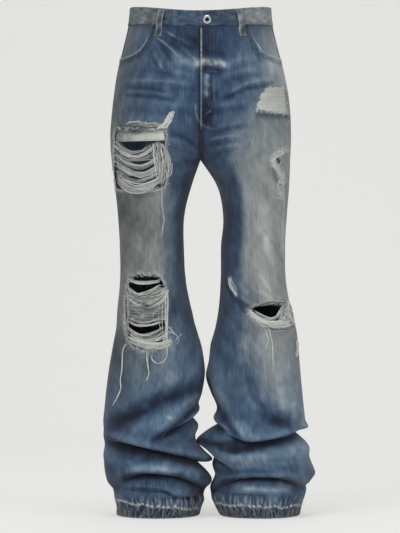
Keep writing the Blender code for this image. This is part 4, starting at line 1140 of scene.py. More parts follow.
# Bundles of threads across a rip: each row's threads share a bent line through its
# middle, start and end a little apart, and wander on their way.
def bundlePaths(side, rows, seed, steps=22, lift=-0.4, roam=0.5):
    local = np.random.default_rng(seed)
    table = np.repeat(np.array([r[:8] for r in rows], float), [int(r[6]) for r in rows], axis=0)
    count = len(table)
    spread = table[:, 7:8]
    t = np.linspace(0, 1, steps)[None]
    x0, z0, xm, zm, x1, z1 = (table[:, k:k + 1] for k in range(6))
    z0, z1 = z0 + local.normal(0, 0.55, (count, 1)) * spread, z1 + local.normal(0, 0.7, (count, 1)) * spread
    xm, zm = xm + local.normal(0, 5, (count, 1)), zm + local.normal(0, 1, (count, 1)) * spread
    x0, x1 = x0 + local.normal(0, 2, (count, 1)), x1 + local.normal(0, 3, (count, 1))
    bx, bz = 2 * xm - (x0 + x1) / 2, 2 * zm - (z0 + z1) / 2
    x = ((1 - t) ** 2 * x0 + 2 * t * (1 - t) * bx + t**2 * x1) * mm
    z = ((1 - t) ** 2 * z0 + 2 * t * (1 - t) * bz + t**2 * z1) * mm + wander(count, steps, roam, local)
    out = lift * mm + local.normal(0, 0.7, (count, 1)) * mm + wander(count, steps, roam, local)
    return spotAt(side, x, z, out)


# Long threads that hang down the cloth: a smooth line through each row's points.
def hangingPaths(side, rows, seed, steps=40, lift=1.2):
    local = np.random.default_rng(seed)
    paths = []
    for line, count in rows:
        smooth = smoothed(alongLine(line, np.linspace(0, len(line) - 1, steps)), 6) * mm
        x = smooth[:, 0] + wander(count, steps, 0.9, local)
        x = x + local.normal(0, 0.32 * math.sqrt(count - 1), (count, 1)) * mm
        z = np.broadcast_to(smooth[:, 1], x.shape)
        paths.append(spotAt(side, x, z, lift * mm + np.abs(wander(count, steps, 0.5, local))))
    return np.concatenate(paths)


# Short frayed ends round a rip: each starts on the edge and runs along its own direction.
def fringePaths(side, rip, count, seed, length=(1.5, 5.5), steps=6):
    local = np.random.default_rng(seed)
    turn = local.uniform(0, 2 * np.pi, count)
    c, s = np.cos(turn), np.sin(turn)
    size = 1 / (np.abs(c) ** rip["square"] + np.abs(s) ** rip["square"]) ** (1 / rip["square"])
    size = size * (1 + local.normal(0.02, 0.025, count))
    x0, z0 = rip["x"] + rip["halfWide"] * size * c, rip["z"] + rip["halfHigh"] * size * s
    heading = np.arctan2(s, c) + np.where(local.random(count) < 0.62, np.pi, 0) + local.normal(0, 0.7, count)
    reach = local.uniform(*length, count)
    t = np.linspace(0, 1, steps)[None]
    bend = local.normal(0, 0.5, (count, 1))
    x = (x0[:, None] + reach[:, None] * t * np.cos(heading[:, None] + bend * t)) * mm
    z = (z0[:, None] + reach[:, None] * t * np.sin(heading[:, None] + bend * t) - reach[:, None] * 0.35
        * t**2) * mm
    return spotAt(side, x, z, 0.5 * mm + local.uniform(0, 1.1, (count, 1)) * mm * t)


# Bundles: start X and Z, middle X and Z, end X and Z, how many threads, their spread, and
# their tone (0 is dark grey, 1 is white).
webs = {
    "thigh": (
        (-172, -255, -137.5, -280.5, -102, -266.5, 8, 1.2, 0.5),
        (-174.5, -263, -131, -288, -91, -265, 12, 1.5, 0.9),
        (-175.5, -268.5, -131.5, -296, -86.5, -276.5, 6, 1.2, 0.5),
        (-173, -281, -129.5, -307, -88.5, -290, 10, 1.3, 0.8),
        (-173, -287, -127.5, -312.5, -84.5, -296, 6, 1.3, 0.4),
        (-171, -296, -125.5, -323, -82.5, -303, 11, 1.4, 0.8),
        (-170, -302, -127.5, -326.5, -82.5, -309.5, 8, 1.5, 0.6),
        (-169, -314.5, -131.5, -339, -84.5, -320.5, 10, 1.8, 0.6),
        (-168, -323.5, -127.5, -349, -80.5, -329.5, 14, 2.2, 0.75),
        (-167, -331.5, -127.5, -355, -80.5, -336, 16, 2.4, 0.65),
        (-165, -339, -129.5, -360, -90.5, -347, 14, 2.2, 0.6),
        (-96, -262.5, -90.5, -296, -78.5, -339, 6, 1.4, 0.8),
        (-86.5, -258.5, -78.5, -296, -84.5, -341, 10, 1.8, 0.75),
        (-75.5, -262.5, -63, -307, -67, -331.5, 6, 1.0, 0.85),
        (-72.5, -266.5, -70.5, -304, -80.5, -343, 8, 1.4, 0.7),
        (-169, -266.5, -137.5, -304, -82.5, -290, 3, 4.0, 0.6),
        (-169, -296, -125.5, -327.5, -86.5, -313.5, 3, 4.0, 0.6),
    ),
    "kneeRight": (
        (-147, -532.5, -123.5, -540.5, -84.5, -536.5, 7, 1.0, 0.6),
        (-145.5, -534.5, -120, -543.5, -82.5, -539.5, 5, 0.8, 0.8),
        (-145.5, -551, -121.5, -566, -82.5, -546.5, 9, 1.4, 0.85),
        (-147, -557, -120, -573, -78.5, -553, 9, 2.0, 0.55),
        (-145.5, -563, -118, -576.5, -70.5, -561, 8, 2.6, 0.45),
        (-144.5, -573, -129.5, -580.5, -118, -588.5, 7, 1.0, 0.8),
        (-67, -555, -77.5, -574, -96, -590.5, 8, 1.4, 0.85),
        (-70, -551, -86, -566, -108, -585, 12, 2.0, 0.7), (-78, -551, -94, -561, -112, -578, 9, 1.6, 0.5),
        (-123.5, -580.5, -100, -576.5, -78.5, -571, 6, 1.6, 0.6),
        (-143.5, -588.5, -118, -602.5, -94, -608, 6, 1.6, 0.5),
        (-70.5, -582.5, -82.5, -598.5, -98, -610, 6, 1.6, 0.55),
        (-143.5, -612, -118, -620, -80.5, -612, 6, 1.0, 0.65),
        (-145.5, -618, -120, -628, -78.5, -620, 8, 1.2, 0.8),
        (-145.5, -631.5, -114, -647.5, -74.5, -631.5, 9, 1.4, 0.7),
        (-143.5, -637.5, -110, -653.5, -72.5, -637.5, 8, 1.4, 0.55),
        (-143.5, -644.5, -108, -659, -70.5, -645.5, 10, 1.6, 0.8),
        (-143.5, -651.5, -103, -665, -59, -657, 20, 2.2, 0.9),
        (-141.5, -659, -102, -672, -57, -665, 18, 2.2, 0.8),
        (-103, -667, -65, -662, -43, -643.5, 13, 1.8, 0.85),
        (-148, -540.5, -146.5, -588.5, -145.5, -647.5, 6, 0.8, 0.85),
        (-67, -555, -73.5, -598.5, -70.5, -665, 6, 1.0, 0.9),
        (-63, -640, -55, -651.5, -67, -670, 8, 2.2, 0.75), (-66, -628, -54, -640, -50, -655, 5, 1.6, 0.7),
        (-62, -640, -48, -646, -41, -638, 6, 1.6, 0.8), (-60, -652, -50, -650, -44, -644, 6, 1.4, 0.85),
    ),
    "kneeLeft": (
        (99, -596.5, 125.5, -617, 167, -619, 13, 1.4, 0.95),
        (99, -600.5, 137.5, -624, 186.5, -618, 17, 1.8, 0.85),
        (102, -604, 139.5, -629.5, 188.5, -625, 16, 2.0, 0.8),
        (106, -611, 143.5, -637.5, 190.5, -631.5, 8, 2.6, 0.4),
        (108, -598.5, 138.5, -615, 176.5, -585.5, 7, 1.6, 0.7),
        (114, -601.5, 143.5, -613, 169, -598.5, 5, 1.4, 0.45),
        (153, -612, 163, -600.5, 174.5, -578.5, 8, 1.6, 0.7),
        (161, -616, 173, -604, 178.5, -582.5, 9, 1.8, 0.9),
        (176.5, -578.5, 184.5, -602.5, 188.5, -626, 11, 2.0, 0.9),
        (167, -618, 178.5, -610, 186.5, -588.5, 9, 2.0, 0.8),
        (102, -592.5, 120, -586.5, 145.5, -583.5, 6, 1.6, 0.5),
        (118, -588.5, 143.5, -582.5, 174.5, -580.5, 6, 2.0, 0.5),
    ),
}
webRadius = {"thigh": (0.55, 0.95), "kneeRight": (0.5, 0.85), "kneeLeft": (0.6, 0.95)}
# The frayed grey band along the top of the thigh rip, lying over the cloth and the bag.
topFray = (
    (-173, -229, -150, -224, -118, -229, 7, 2.6, 0.3), (-136, -226, -112, -224, -72, -227, 7, 2.4, 0.35),
    (-150, -221.5, -128, -219, -104, -223.5, 4, 1.0, 0.85),
    (-112, -222, -96, -220.5, -78, -225, 4, 1.2, 0.7), (-172, -233, -142, -236, -108, -233, 8, 2.4, 0.2),
    (-122, -233, -100, -235, -70, -230, 8, 2.2, 0.4), (-168, -226, -158, -234, -146, -226, 3, 2.0, 0.7),
    (-104, -226, -94, -234, -80, -228, 3, 2.0, 0.8),
)
# Where the bundles lie over the cloth's edge rather than behind it.
webLift = {"thigh": 0.2, "kneeRight": 0.2, "kneeLeft": 0.9}
# Close, grey weft that still holds together across the middle of the right knee.
curtain = {
    "top": -561, "bottom": -617, "left": -152, "right": -69.5, "sag": 8, "lift": -1.9,
    "threads": 46, "spread": 2.4, "tone": 0.35,
}
hanging = {
    "right": (
        (((-77.5, -302), (-79.5, -384.5), (-74.5, -415.5), (-79.5, -452)), 2),
        (((-67.5, -666), (-66, -679), (-67.5, -690.5), (-74.5, -700.5), (-84.5, -704.5), (-93.5, -701.5),
            (-99, -693.5), (-98, -686.5)), 2),
        (((-148, -664), (-156, -676), (-158, -721), (-162, -738.5), (-158, -755.5), (-174.5, -790.5)), 3),
        (((-107, -681), (-107, -700.5), (-103, -725), (-109, -738.5)), 3),
        (((-56, -198), (-61, -217.5), (-72.5, -233)), 12),
        (((-60, -200), (-67, -218.5), (-78.5, -233)), 12),
        (((-65, -205.5), (-72.5, -221.5), (-86.5, -234)), 10),
    ),
    "left": (
        (((131.5, -636.5), (135.5, -656), (130.5, -678)), 2),
        (((136.5, -634.5), (144.5, -664), (145.5, -719)), 2),
        (((59, -530.5), (60, -543), (64.5, -554), (73, -567)), 13),
        (((194.5, -659), (196.5, -675), (193.5, -692.5)), 14),
    ),
}


# A tone for each thread, scattered about its bundle's own.
def bundleTones(rows):
    middle = np.repeat([r[8] for r in rows], [int(r[6]) for r in rows])
    return np.clip(middle + rng.normal(0, 0.17, len(middle)), 0, 1)


# The close weft of the right knee: a row for each thread, sagging, tilted and set off in waves.
def curtainRows():
    c = curtain
    share = np.linspace(0, 1, c["threads"])
    level = c["top"] + (c["bottom"] - c["top"]) * share
    sag = c["sag"] * (1 - 0.4 * share) + 4 * np.sin(share * 17) + 2 * np.sin(share * 41)
    middle = (c["left"] + c["right"]) / 2 - 6 + 16 * np.sin(share * 23)
    tilt = 5 * np.sin(share * 13)
    return [
        (c["left"], z + e, m, z - d, c["right"], z - e, 1, c["spread"], c["tone"])
        for z, m, d, e in zip(level.tolist(), middle.tolist(), sag.tolist(), tilt.tolist())
    ]


# The slack weft of each rip, with the frayed band over the thigh and the close weft of the knee.
def makeWebs():
    made = {}
    nodes = {"thigh": "weft_web_thigh", "kneeRight": "weft_web_knee_right", "kneeLeft": "weft_web_knee_left"}
    more = {"thigh": (topFray, 130, 0.6, 1.5), "kneeRight": (curtainRows(), 140, -1.2, 1.1)}
    for seed, (name, rows) in enumerate(webs.items()):
        paths = bundlePaths(rips[name]["side"], rows, 100 + seed, lift=webLift[name])
        tones = bundleTones(rows)
        if name in more:
            extra, extraSeed, lift, roam = more[name]
            paths = np.concatenate([paths, bundlePaths("right", extra, extraSeed, lift=lift, roam=roam)])
            tones = np.concatenate([tones, bundleTones(extra)])
        radius = rng.uniform(*webRadius[name], len(paths)) * mm
        piece = addTubes(f"weft_threads_{name}", paths, radius, yarn, tones)
        made[name] = finishPiece(piece, "weft_yarn", nodes[name])
    return made


# The thin cloth left behind the close weft of the right knee: its edges sag, and it is
# pulled into slack level ridges.
def makeCurtain():
    c = curtain
    u, v = shareGrid(60, 48)
    x = c["left"] + (c["right"] - c["left"]) * u
    arch = 1 - (2 * u - 0.85) ** 2
    z = c["top"] + (c["bottom"] - c["top"]) * v - c["sag"] * arch * (1 - 0.4 * v)
    valley = np.abs(u - 0.45 - 0.16 * np.sin(v * 7))
    ridge = np.sin((v + 0.55 * valley) * 17) * 0.7 + 0.5 * ripple(u * 0.07, v * 0.06, 0.03, 44)
    points = spotAt("right", x * mm, z * mm, (c["lift"] + 0.8 * ridge) * mm)
    fade = 0.50 + 0.07 * ridge + 0.04 * ripple(u * 0.08, v * 0.06, 0.012, 45)
    washAndShade = np.stack([fade, np.full(u.shape, 0.95), np.clip(0.14 + 0.14 * ridge, 0, 1)], axis=-1)
    piece = addMesh("knee_web_cloth", points, gridFaces(*u.shape, flip=True), denim, clothUv(points), washAndShade,
        0.6 * mm)
    return finishPiece(piece, "weft_yarn")


# Frayed ends round each rip, about as many as its size in millimetres asks for.
def makeFringes():
    made = {}
    for seed, (name, rip) in enumerate(rips.items()):
        size = int(3.2 * (rip["halfWide"] + rip["halfHigh"]))
        paths = fringePaths(rip["side"], rip, size, 200 + seed)
        radius = rng.uniform(0.28, 0.45, size) * mm
        piece = addTubes(f"frayed_edge_{name}", paths, radius, yarn, rng.uniform(0.35, 0.9, size), sides=4)
        made[name] = finishPiece(piece, "weft_yarn")
    return made


# The long loose threads of each side, one piece a side.
def makeHanging():
    made = {}
    for seed, (side, rows) in enumerate(hanging.items()):
        paths = hangingPaths(side, rows, 220 + seed)
        tones = rng.uniform(0.7, 1.0, len(paths))
        piece = addTubes(f"hanging_threads_{side}", paths, np.full(len(paths), 0.62 * mm), yarn, tones)
        made[side] = finishPiece(piece, "weft_yarn")
    return made


# The worn patch keeps its weft: level threads side by side over the bare cloth, with
# loose ends along its lower edge and a few along its sides.
def makePatch():
    corners = np.array(hipPatch["corners"], float)
    count, steps, ends = hipPatch["threads"], 24, hipPatch["ends"]
    share = np.linspace(0.01, 0.99, count)[:, None]
    left = corners[0] + (corners[3] - corners[0]) * share
    right = corners[1] + (corners[2] - corners[1]) * share
    t = np.linspace(0, 1, steps)[None]
    near, far = rng.normal(0, 2.4, (2, count, 1)) + 2.2 * np.sin(share * 15) + 1.2 * np.sin(share * 37)
    x = left[:, :1] + near + (right[:, :1] - left[:, :1] + far - near) * t
    z = (left[:, 1:] + (right[:, 1:] - left[:, 1:]) * t) * mm + wander(count, steps, 0.5, rng)
    paths = spotAt("left", x * mm, z, 0.3 * mm + np.abs(wander(count, steps, 0.25, rng)))
    start = rng.uniform(0, 1, (ends, 1))
    foot = corners[3] + (corners[2] - corners[3]) * start
    s = np.linspace(0, 1, 6)[None]
    drop = rng.uniform(2, 9, (ends, 1)) * (0.6 + 0.4 * np.sin(start * 21))
    ex = foot[:, :1] + rng.normal(0, 2.4, (ends, 1)) * s
    ez = foot[:, 1:] + 2 - drop * s + 1.5 * np.sin(start * 16)
    lower = spotAt("left", ex * mm, ez * mm, 0.5 * mm + 0.8 * mm * s)
    radius = rng.uniform(0.34, 0.5, count) * mm
    piece = addTubes("hip_patch_weft", paths, radius, yarn, rng.uniform(0.66, 0.95, count))
    radius = rng.uniform(0.3, 0.45, ends) * mm
    fray = addTubes("hip_patch_fray", lower, radius, yarn, rng.beta(0.7, 0.9, ends), sides=4)
    return [finishPiece(piece, "weft_yarn"), finishPiece(fray, "weft_yarn")]


# The fray down the left outseam: thread rings round its holes, strands that follow its
# line between them, and short curled ends.
def makeSideFray():
    spec = sideFray
    line = spec["line"]
    rings, strands, ends, steps = spec["rings"], spec["strands"], spec["ends"], 12
    s = np.linspace(0, 1, steps)[None]
    rows = []
    for hx, hz, wide, high in spec["holes"]:
        start = rng.uniform(0, 2 * np.pi, (rings, 1))
        turn = start + s * rng.uniform(2.6, 5.2, (rings, 1))
        grow = rng.uniform(0.6, 3.2, (rings, 1))
        rows.append(np.stack([hx + (wide + grow) * np.cos(turn), hz + (high + grow) * np.sin(turn)], axis=-1))
    at = rng.uniform(0, len(line) - 2.2, (strands, 1)) + s * rng.uniform(0.6, 1.2, (strands, 1))
    drift = rng.normal(0, 2.2, (strands, 1, 2)) + wander(strands, steps, 1.2, rng)[..., None] / mm
    rows.append(alongLine(line, at) + drift)
    at = rng.uniform(0, len(line) - 1.01, (ends, 1))
    heading = rng.uniform(0, 2 * np.pi, (ends, 1)) + rng.normal(0, 2.0, (ends, 1)) * s
    reach = rng.uniform(3, 11, (ends, 1)) * s
    rows.append(alongLine(line, at) + np.stack([reach * np.cos(heading), reach * np.sin(heading)], axis=-1))
    flat = np.concatenate(rows)
    count = len(flat)
    lift = 0.5 * mm + 1.2 * mm * np.sin(np.pi * s) * rng.uniform(0.1, 1, (count, 1))
    paths = spotAt("left", np.minimum(flat[..., 0], spec["outmost"]) * mm, flat[..., 1] * mm, lift)
    radius = rng.uniform(0.4, 0.75, count) * mm
    piece = addTubes("side_fray_left", paths, radius, yarn, rng.uniform(0.7, 1.0, count), sides=4)
    return finishPiece(piece, "weft_yarn")


hemFringe = {"threads": 620, "shortest": 2, "longest": 26, "highest": -967}


# Let-down raw hem: fine upright threads all round, from the cut edge up past the old fold.
def makeHemFringe(side):
    spec = hemFringe
    count, steps = spec["threads"], 8
    turn = rng.uniform(-1, 1, (count, 1))
    low = form["hem"] + rng.exponential(5.0, (count, 1))
    length = spec["shortest"] + rng.beta(1.1, 2.2, (count, 1)) * (spec["longest"] - spec["shortest"])
    high = np.minimum(low + length, spec["highest"])
    t = np.linspace(0, 1, steps)[None]
    level = (low + (high - low) * t) * mm
    angle = turn * np.pi + wander(count, steps, 8, rng) + rng.normal(0, 0.012, (count, 1)) * t
    lift = 0.35 * mm + rng.uniform(0, 0.9, (count, 1, 1)) * mm * (1 - t[..., None]) ** 2
    paths = clothPoint(side, level, angle) + clothNormal(side, level, angle) * lift
    radius = rng.uniform(0.16, 0.3, count) * mm
    piece = addTubes(f"hem_fringe_{side}", paths, radius, yarn, rng.uniform(0.05, 0.6, count), sides=4)
    return finishPiece(piece, "weft_yarn")


threadPieces = makeWebs()
kneeWeb = makeCurtain()
fringePieces = makeFringes()
hangingPieces = makeHanging()
patchPieces = makePatch()
sideFrayPiece = makeSideFray()
hemPieces = {side: makeHemFringe(side) for side in sideSign}
print("rips, frays and hanging threads made")

beltLoops = {
    "rows": ((17, 1.3), (14, 4.6), (9, 6.6), (0, 7.7), (-10, 7.4), (-16, 6.2), (-21, 3.6), (-26, 1.2),
        (-32, 0.5), (-42, 0.4)),
    "wide": 14, "thick": 1.5, "waistRadius": 140,
    "places": {
        "belt_loop_front_left": (-58, 2.5), "belt_loop_front_right": (-122, -2.5),
        "belt_loop_back_left": (48, 0), "belt_loop_back_right": (132, 0),
        "belt_loop_back_centre": (90, 0),
    },
}


# A belt loop: a strip whose rows follow a smooth curve through its levels and lifts.
def makeLoop(name, degrees, slant):
    spec = beltLoops
    rows = alongLine(spec["rows"], np.linspace(0, len(spec["rows"]) - 1, 40))
    level, lift = rows[:, :1], smoothed(rows[:, 1:], 5)
    across = np.linspace(-1, 1, 9)[None]
    half = spec["wide"] / 2 / spec["waistRadius"]
    angle = np.radians(degrees) + np.radians(slant) * (17 - level) / 59 + half * across
    level = np.broadcast_to(level, angle.shape) * mm
    rough = 0.15 * mm * ripple(angle * 0.14, level, 0.012, 81)
    points = bandPoint(level, angle, (lift + spec["thick"] - 1.1 * np.abs(across) ** 6) * mm + rough)
    worn = 0.44 + 0.1 * ripple(angle * 0.14, level, 0.02, 82) + 0.12 * np.abs(across) ** 4
    front = name.startswith("belt_loop_front")
    grey = np.full(worn.shape, 0.75 if front else 0.3)
    bare = 0.25 * np.abs(across) ** 6 * np.ones(worn.shape)
    washAndShade = np.stack([worn + (0.02 if front else -0.05), grey, bare], axis=-1)
    piece = addMesh(
        f"{name}_cloth", points, gridFaces(*level.shape), denim, clothUv(points), washAndShade, spec["thick"] * mm)
    return finishPiece(piece, "faded_denim" if front else "washed_denim", name)


backPockets = {"topLeft": (32, -98), "topRight": (152, -92), "lowLeft": (40, -214), "point": (88, -238),
    "lowRight": (138, -216), "lift": 1.8}


# Point on a back pocket at shares across and down: straight sides that close in, and a
# pointed foot.
def pocketSpot(side, u, v, lift):
    (xa, za), (xb, zb) = backPockets["topLeft"], backPockets["topRight"]
    (xc, zc), (xd, zd) = backPockets["lowLeft"], backPockets["lowRight"]
    tipX, tipZ = backPockets["point"]
    xl = xa + (xc - xa) * v
    xr = xb + (xd - xb) * v
    top = za + (zb - za) * u
    foot = np.interp(u, (0, (tipX - xc) / (xd - xc), 1), (zc, tipZ, zd))
    return spotAt(side, sideSign[side] * (xl + (xr - xl) * u) * mm, (top + (foot - top) * v) * mm, lift,
        back=True)


# A back patch pocket: raised from its edges inwards, with its folded edges worn.
def makeBackPocket(side):
    u, v = shareGrid(49, 55)
    rim = np.minimum(np.minimum(u, 1 - u) * 118, np.minimum(v, 1 - v) * 130)
    lift = (backPockets["lift"] + 0.5 * np.clip(rim / 20, 0, 1)) * mm
    points = pocketSpot(side, u, v, lift)
    worn = gauss(rim, 3.0)
    washAndShade = washAt(side, points, np.zeros(u.shape), 0.0, 0.6)
    washAndShade[..., 0] += 0.12 * worn
    washAndShade[..., 2] += 0.2 * worn * np.clip(ripple(u, v, 0.05, 91) + 0.5, 0, 1)
    piece = addMesh(f"back_pocket_{side}_cloth", points, gridFaces(*u.shape, flip=side == "left"), denim,
        clothUv(points), washAndShade, 1.4 * mm)
    return finishPiece(piece, "washed_denim", f"back_pocket_{side}")


flyFacing = {"edge": 0.0005, "top": -0.0265, "wide": 0.0355, "long": 0.179, "roundFrom": 0.82,
    "roundRun": 0.185}


# The fly facing: a strip behind the left front's edge, its lower end rounded off.
def makeFlyFacing():
    spec = flyFacing
    u, v = shareGrid(9, 50)
    rounded = np.clip((v - spec["roundFrom"]) / spec["roundRun"], 0, 1)
    wide = spec["wide"] * np.sqrt(np.clip(1 - rounded ** 2, 0.02, 1))
    points = spotAt("left", spec["edge"] + u * wide, spec["top"] - v * spec["long"],
        np.full(u.shape, -2.0 * mm))
    washAndShade = washAt("left", points, np.zeros(u.shape), -0.02, 0.5)
    piece = addMesh("fly_facing_cloth", points, gridFaces(*u.shape), denim, clothUv(points), washAndShade, 1.3 * mm)
    return finishPiece(piece, "washed_denim", "fly_facing")


loopPieces = [makeLoop(name, *place) for name, place in beltLoops["places"].items()]
pocketPieces = {side: makeBackPocket(side) for side in sideSign}
flyPiece = makeFlyFacing()
print("belt loops, back pockets and fly facing made")

stitching = {"long": 2.6, "pitch": 3.7, "radius": 0.34}


# Stitches along a dense line of points on the cloth and the same line 1 mm out: dashes
# spaced by the length travelled, each a short bent tube that dips in at its ends.
def stitchPaths(line, outer):
    travelled = np.concatenate([[0], np.cumsum(np.linalg.norm(np.diff(line, axis=0), axis=-1))])
    count = max(int(travelled[-1] / (stitching["pitch"] * mm)), 1)
    start = np.arange(count) * stitching["pitch"] * mm
    at = start[:, None] + np.array([0, 0.5, 1])[None] * stitching["long"] * mm
    out = alongLine((outer - line) / mm, at, travelled)
    return alongLine(line, at, travelled) + out * (np.array([-0.1, 0.42, -0.1])[None, :, None] * mm)


# Stitches along a line of corners on the front or the back.
def stitchOn(side, line, back=False, lift=0.0):
    x, z = (alongLine(line, np.linspace(0, len(line) - 1, 40 * len(line))) * mm).T
    base, outer = (spotAt(side, x, z, np.full(x.shape, (lift + d) * mm), back) for d in (0, 1))
    return stitchPaths(base, outer)


# Mouth stitching follows the pocket edge at two distances below and inside it.
def mouthStitches(side):
    mouth = panels["mouth"]
    smooth = smoothed(alongLine(mouth, np.linspace(0, len(mouth) - 1, 90)), 10)
    step = np.gradient(smooth, axis=0)
    square = np.stack([step[:, 1], -step[:, 0]], axis=-1) / np.linalg.norm(step, axis=-1, keepdims=True)
    rows = []
    for away, lift in ((3.0, 0.9), (9.0, 0.1)):
        line = smooth + square * away
        line = line[(line[:, 1] < -20) & (line[:, 0] < 150)]
        line[:, 0] *= sideSign[side]
        rows.append(stitchOn(side, line, lift=lift))
    return rows


# Stitches along a line of shares across and down a back pocket.
def stitchPocket(side, u, v, lift):
    base, outer = (pocketSpot(side, u, v, (backPockets["lift"] + lift + d) * mm) for d in (0, 1))
    return stitchPaths(base, outer)


# All the topstitching: pocket mouths, yoke seams, back pockets, fly, and both edges of the band.
def makeStitches():
    rows = {"front_left": [], "front_right": [], "back_left": [], "back_right": [], "band": []}
    for side, sign in sideSign.items():
        rows[f"front_{side}"] += mouthStitches(side)
        for d in (3, 9):
            seamLine = ((sign * 3, -85 - d), (sign * 60, -75 - d), (sign * 110, -66 - d),
                (sign * 150, -58 - d))
            rows[f"back_{side}"].append(stitchOn(side, seamLine, back=True))
        for inset in (0.02, 0.07):
            down = np.linspace(0.01, 1 - inset, 90)
            u = np.concatenate([np.full(90, inset), np.linspace(inset, 1 - inset, 110),
                np.full(90, 1 - inset)])
            v = np.concatenate([down, np.full(110, 1 - inset), down[::-1]])
            rows[f"back_{side}"].append(stitchPocket(side, u, v, 0.2))
        for v in (0.07, 0.12):
            rows[f"back_{side}"].append(stitchPocket(side, np.linspace(0.02, 0.98, 90), np.full(90, v), 0.4))
    for x in (20, 26):
        flyLine = ((x, -30), (x, -120), (x, -165), (x - 3, -185), (x - 9, -200), (x - 17, -212))
        rows["front_left"].append(stitchOn("left", flyLine, lift=0.1))
    rows["front_right"].append(stitchOn("right", ((-4, -215), (-3.5, -240), (-3, -270)), lift=-0.1))
    rows["front_left"].append(stitchOn("left", ((4.5, -215), (4, -240), (3.5, -275)), lift=0.2))
    angle = np.radians(np.linspace(-89, 268, 1500))
    for level in (14.5, -14.2):
        base, outer = (bandPoint(np.full(1500, level * mm), angle, (1.35 + d) * mm) for d in (0, 1))
        rows["band"].append(stitchPaths(base, outer))
    made = {}
    for name, paths in rows.items():
        paths = np.concatenate(paths)
        radius = np.full(len(paths), stitching["radius"] * mm)
        tones = rng.uniform(0.0, 0.55, len(paths))
        piece = addTubes(f"stitches_{name}", paths, radius, thread, tones, sides=4, taper=0.7)
        made[name] = finishPiece(piece, "weft_yarn")
    return made


stitchPieces = makeStitches()
print("stitching made")

low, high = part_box("waist_button")
buttonMiddle = ((low[0] + high[0]) / 2, 0.0, (low[2] + high[2]) / 2)
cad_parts["waist_button"].material_slots[0].material = makeMetal(buttonMiddle)
print("button finished")

stage = {
    "floor": "#e9e9e6", "backdrop": "#f0f0ee", "pale": 0.6,
    "reach": 9.0, "bendStart": 2.2, "bendRadius": 1.2, "wall": 7.0,
    "distance": 6.0, "frameHeight": 1.0873, "aim": (-0.001, -0.509), "sensor": 24,
    "ambient": "#f2f2f2", "ambientPower": 0.28, "beyond": "#e4e4e1",
}


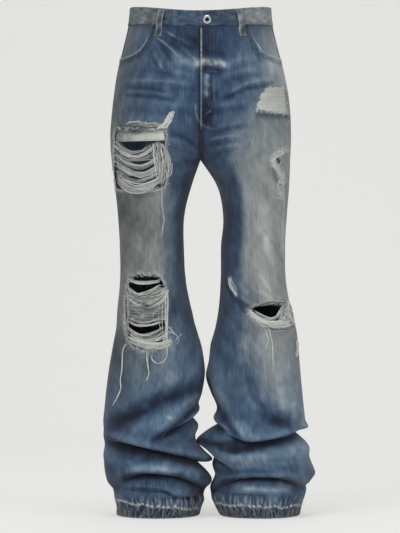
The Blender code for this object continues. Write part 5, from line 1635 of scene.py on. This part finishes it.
# Floor that curves up into a backdrop: a profile of floor, quarter circle and wall, run
# across.  Seen directly, it is mostly pale, whatever light falls on it.
def makeStage(spec):
    low = cadBox[0][2] - 0.001
    bend = np.linspace(0, np.pi / 2, 14)
    radius = spec["bendRadius"]
    curve = np.stack([spec["bendStart"] + radius * np.sin(bend), low + radius * (1 - np.cos(bend))], axis=-1)
    end = [[spec["bendStart"] + radius, low + spec["wall"]]]
    profile = np.concatenate([[[-spec["reach"], low]], curve, end])
    points = np.array([[(x, y, z) for x in (-spec["reach"], spec["reach"])] for y, z in profile])
    material, tree, shader = newMaterial("matt paper backdrop", 0.95)
    shader.inputs["Base Color"].default_value = toLinear(spec["floor"])
    shader.inputs["Specular IOR Level"].default_value = 0.1
    seen = addNode(tree, "ShaderNodeLightPath").outputs
    direct = addMath(tree, "ADD", seen["Is Camera Ray"], seen["Is Glossy Ray"])
    direct = addMath(tree, "ADD", direct, seen["Is Transmission Ray"], clamp=True)
    share = addMath(tree, "MULTIPLY", direct, spec["pale"])
    glow = addNode(tree, "ShaderNodeEmission", None, {"Color": toLinear(spec["backdrop"]), "Strength": 1.0})
    mixed = addNode(tree, "ShaderNodeMixShader", None,
        {0: share, 1: shader.outputs["BSDF"], 2: glow.outputs["Emission"]})
    # from behind, the camera sees through it
    facing = addNode(tree, "ShaderNodeNewGeometry")
    behind = addMath(tree, "MULTIPLY", facing.outputs["Backfacing"], seen["Is Camera Ray"])
    clear = addNode(tree, "ShaderNodeBsdfTransparent")
    mixed = addNode(tree, "ShaderNodeMixShader", None,
        {0: behind, 1: mixed.outputs["Shader"], 2: clear.outputs["BSDF"]})
    tree.links.new(mixed.outputs["Shader"], tree.nodes["Material Output"].inputs["Surface"])
    floor = addMesh("floor_sweep", points, gridFaces(len(profile), 2, flip=True), material)


# A square-cornered area lamp turned to face its target.
def addLamp(name, place, target, size, power):
    data = bpy.data.lights.new(name, "AREA")
    data.shape = "RECTANGLE"
    data.size, data.size_y = size
    data.energy = power
    lamp = addObject(name, data)
    lamp.location = place
    aim = np.array(target) - np.array(place)
    lamp.rotation_euler = (math.acos(-aim[2] / np.linalg.norm(aim)), 0,
        math.atan2(aim[1], aim[0]) - math.pi / 2)


makeStage(stage)
addLamp("key", (-1.9, -3.2, 1.6), (0, 0, -0.5), (2.0, 2.0), 66)
addLamp("fill", (2.6, -3.0, 0.2), (0, 0, -0.5), (2.4, 2.4), 42)
addLamp("top", (0.0, -0.5, 2.6), (0, 0, -0.5), (2.0, 1.6), 46)
addLamp("rim", (0.5, 2.6, 1.6), (0, 0, -0.4), (2.0, 2.0), 20)

world = bpy.data.worlds.new("studio")
bpy.context.scene.world = world
world.use_nodes = True
tree = world.node_tree
dim = tree.nodes["Background"]
dim.inputs["Color"].default_value = toLinear(stage["ambient"])
dim.inputs["Strength"].default_value = stage["ambientPower"]
seen = addNode(tree, "ShaderNodeLightPath")
pale = addNode(tree, "ShaderNodeBackground", None, {"Color": toLinear(stage["beyond"]), "Strength": 1.0})
shown = addNode(tree, "ShaderNodeMixShader", None, {
    0: seen.outputs["Is Camera Ray"], 1: dim.outputs["Background"], 2: pale.outputs["Background"]})
tree.links.new(shown.outputs["Shader"], tree.nodes["World Output"].inputs["Surface"])

camera = addObject("camera", bpy.data.cameras.new("camera"))
camera.data.sensor_fit = "VERTICAL"
camera.data.sensor_height = stage["sensor"]
camera.data.lens = stage["sensor"] * stage["distance"] / stage["frameHeight"]
camera.data.clip_end = 50
camera.location = (stage["aim"][0], -stage["distance"], stage["aim"][1])
camera.rotation_euler = (math.pi / 2, 0, 0)
bpy.context.scene.camera = camera
bpy.context.scene.view_settings.view_transform = "Standard"
print("stage, lamps and camera set")
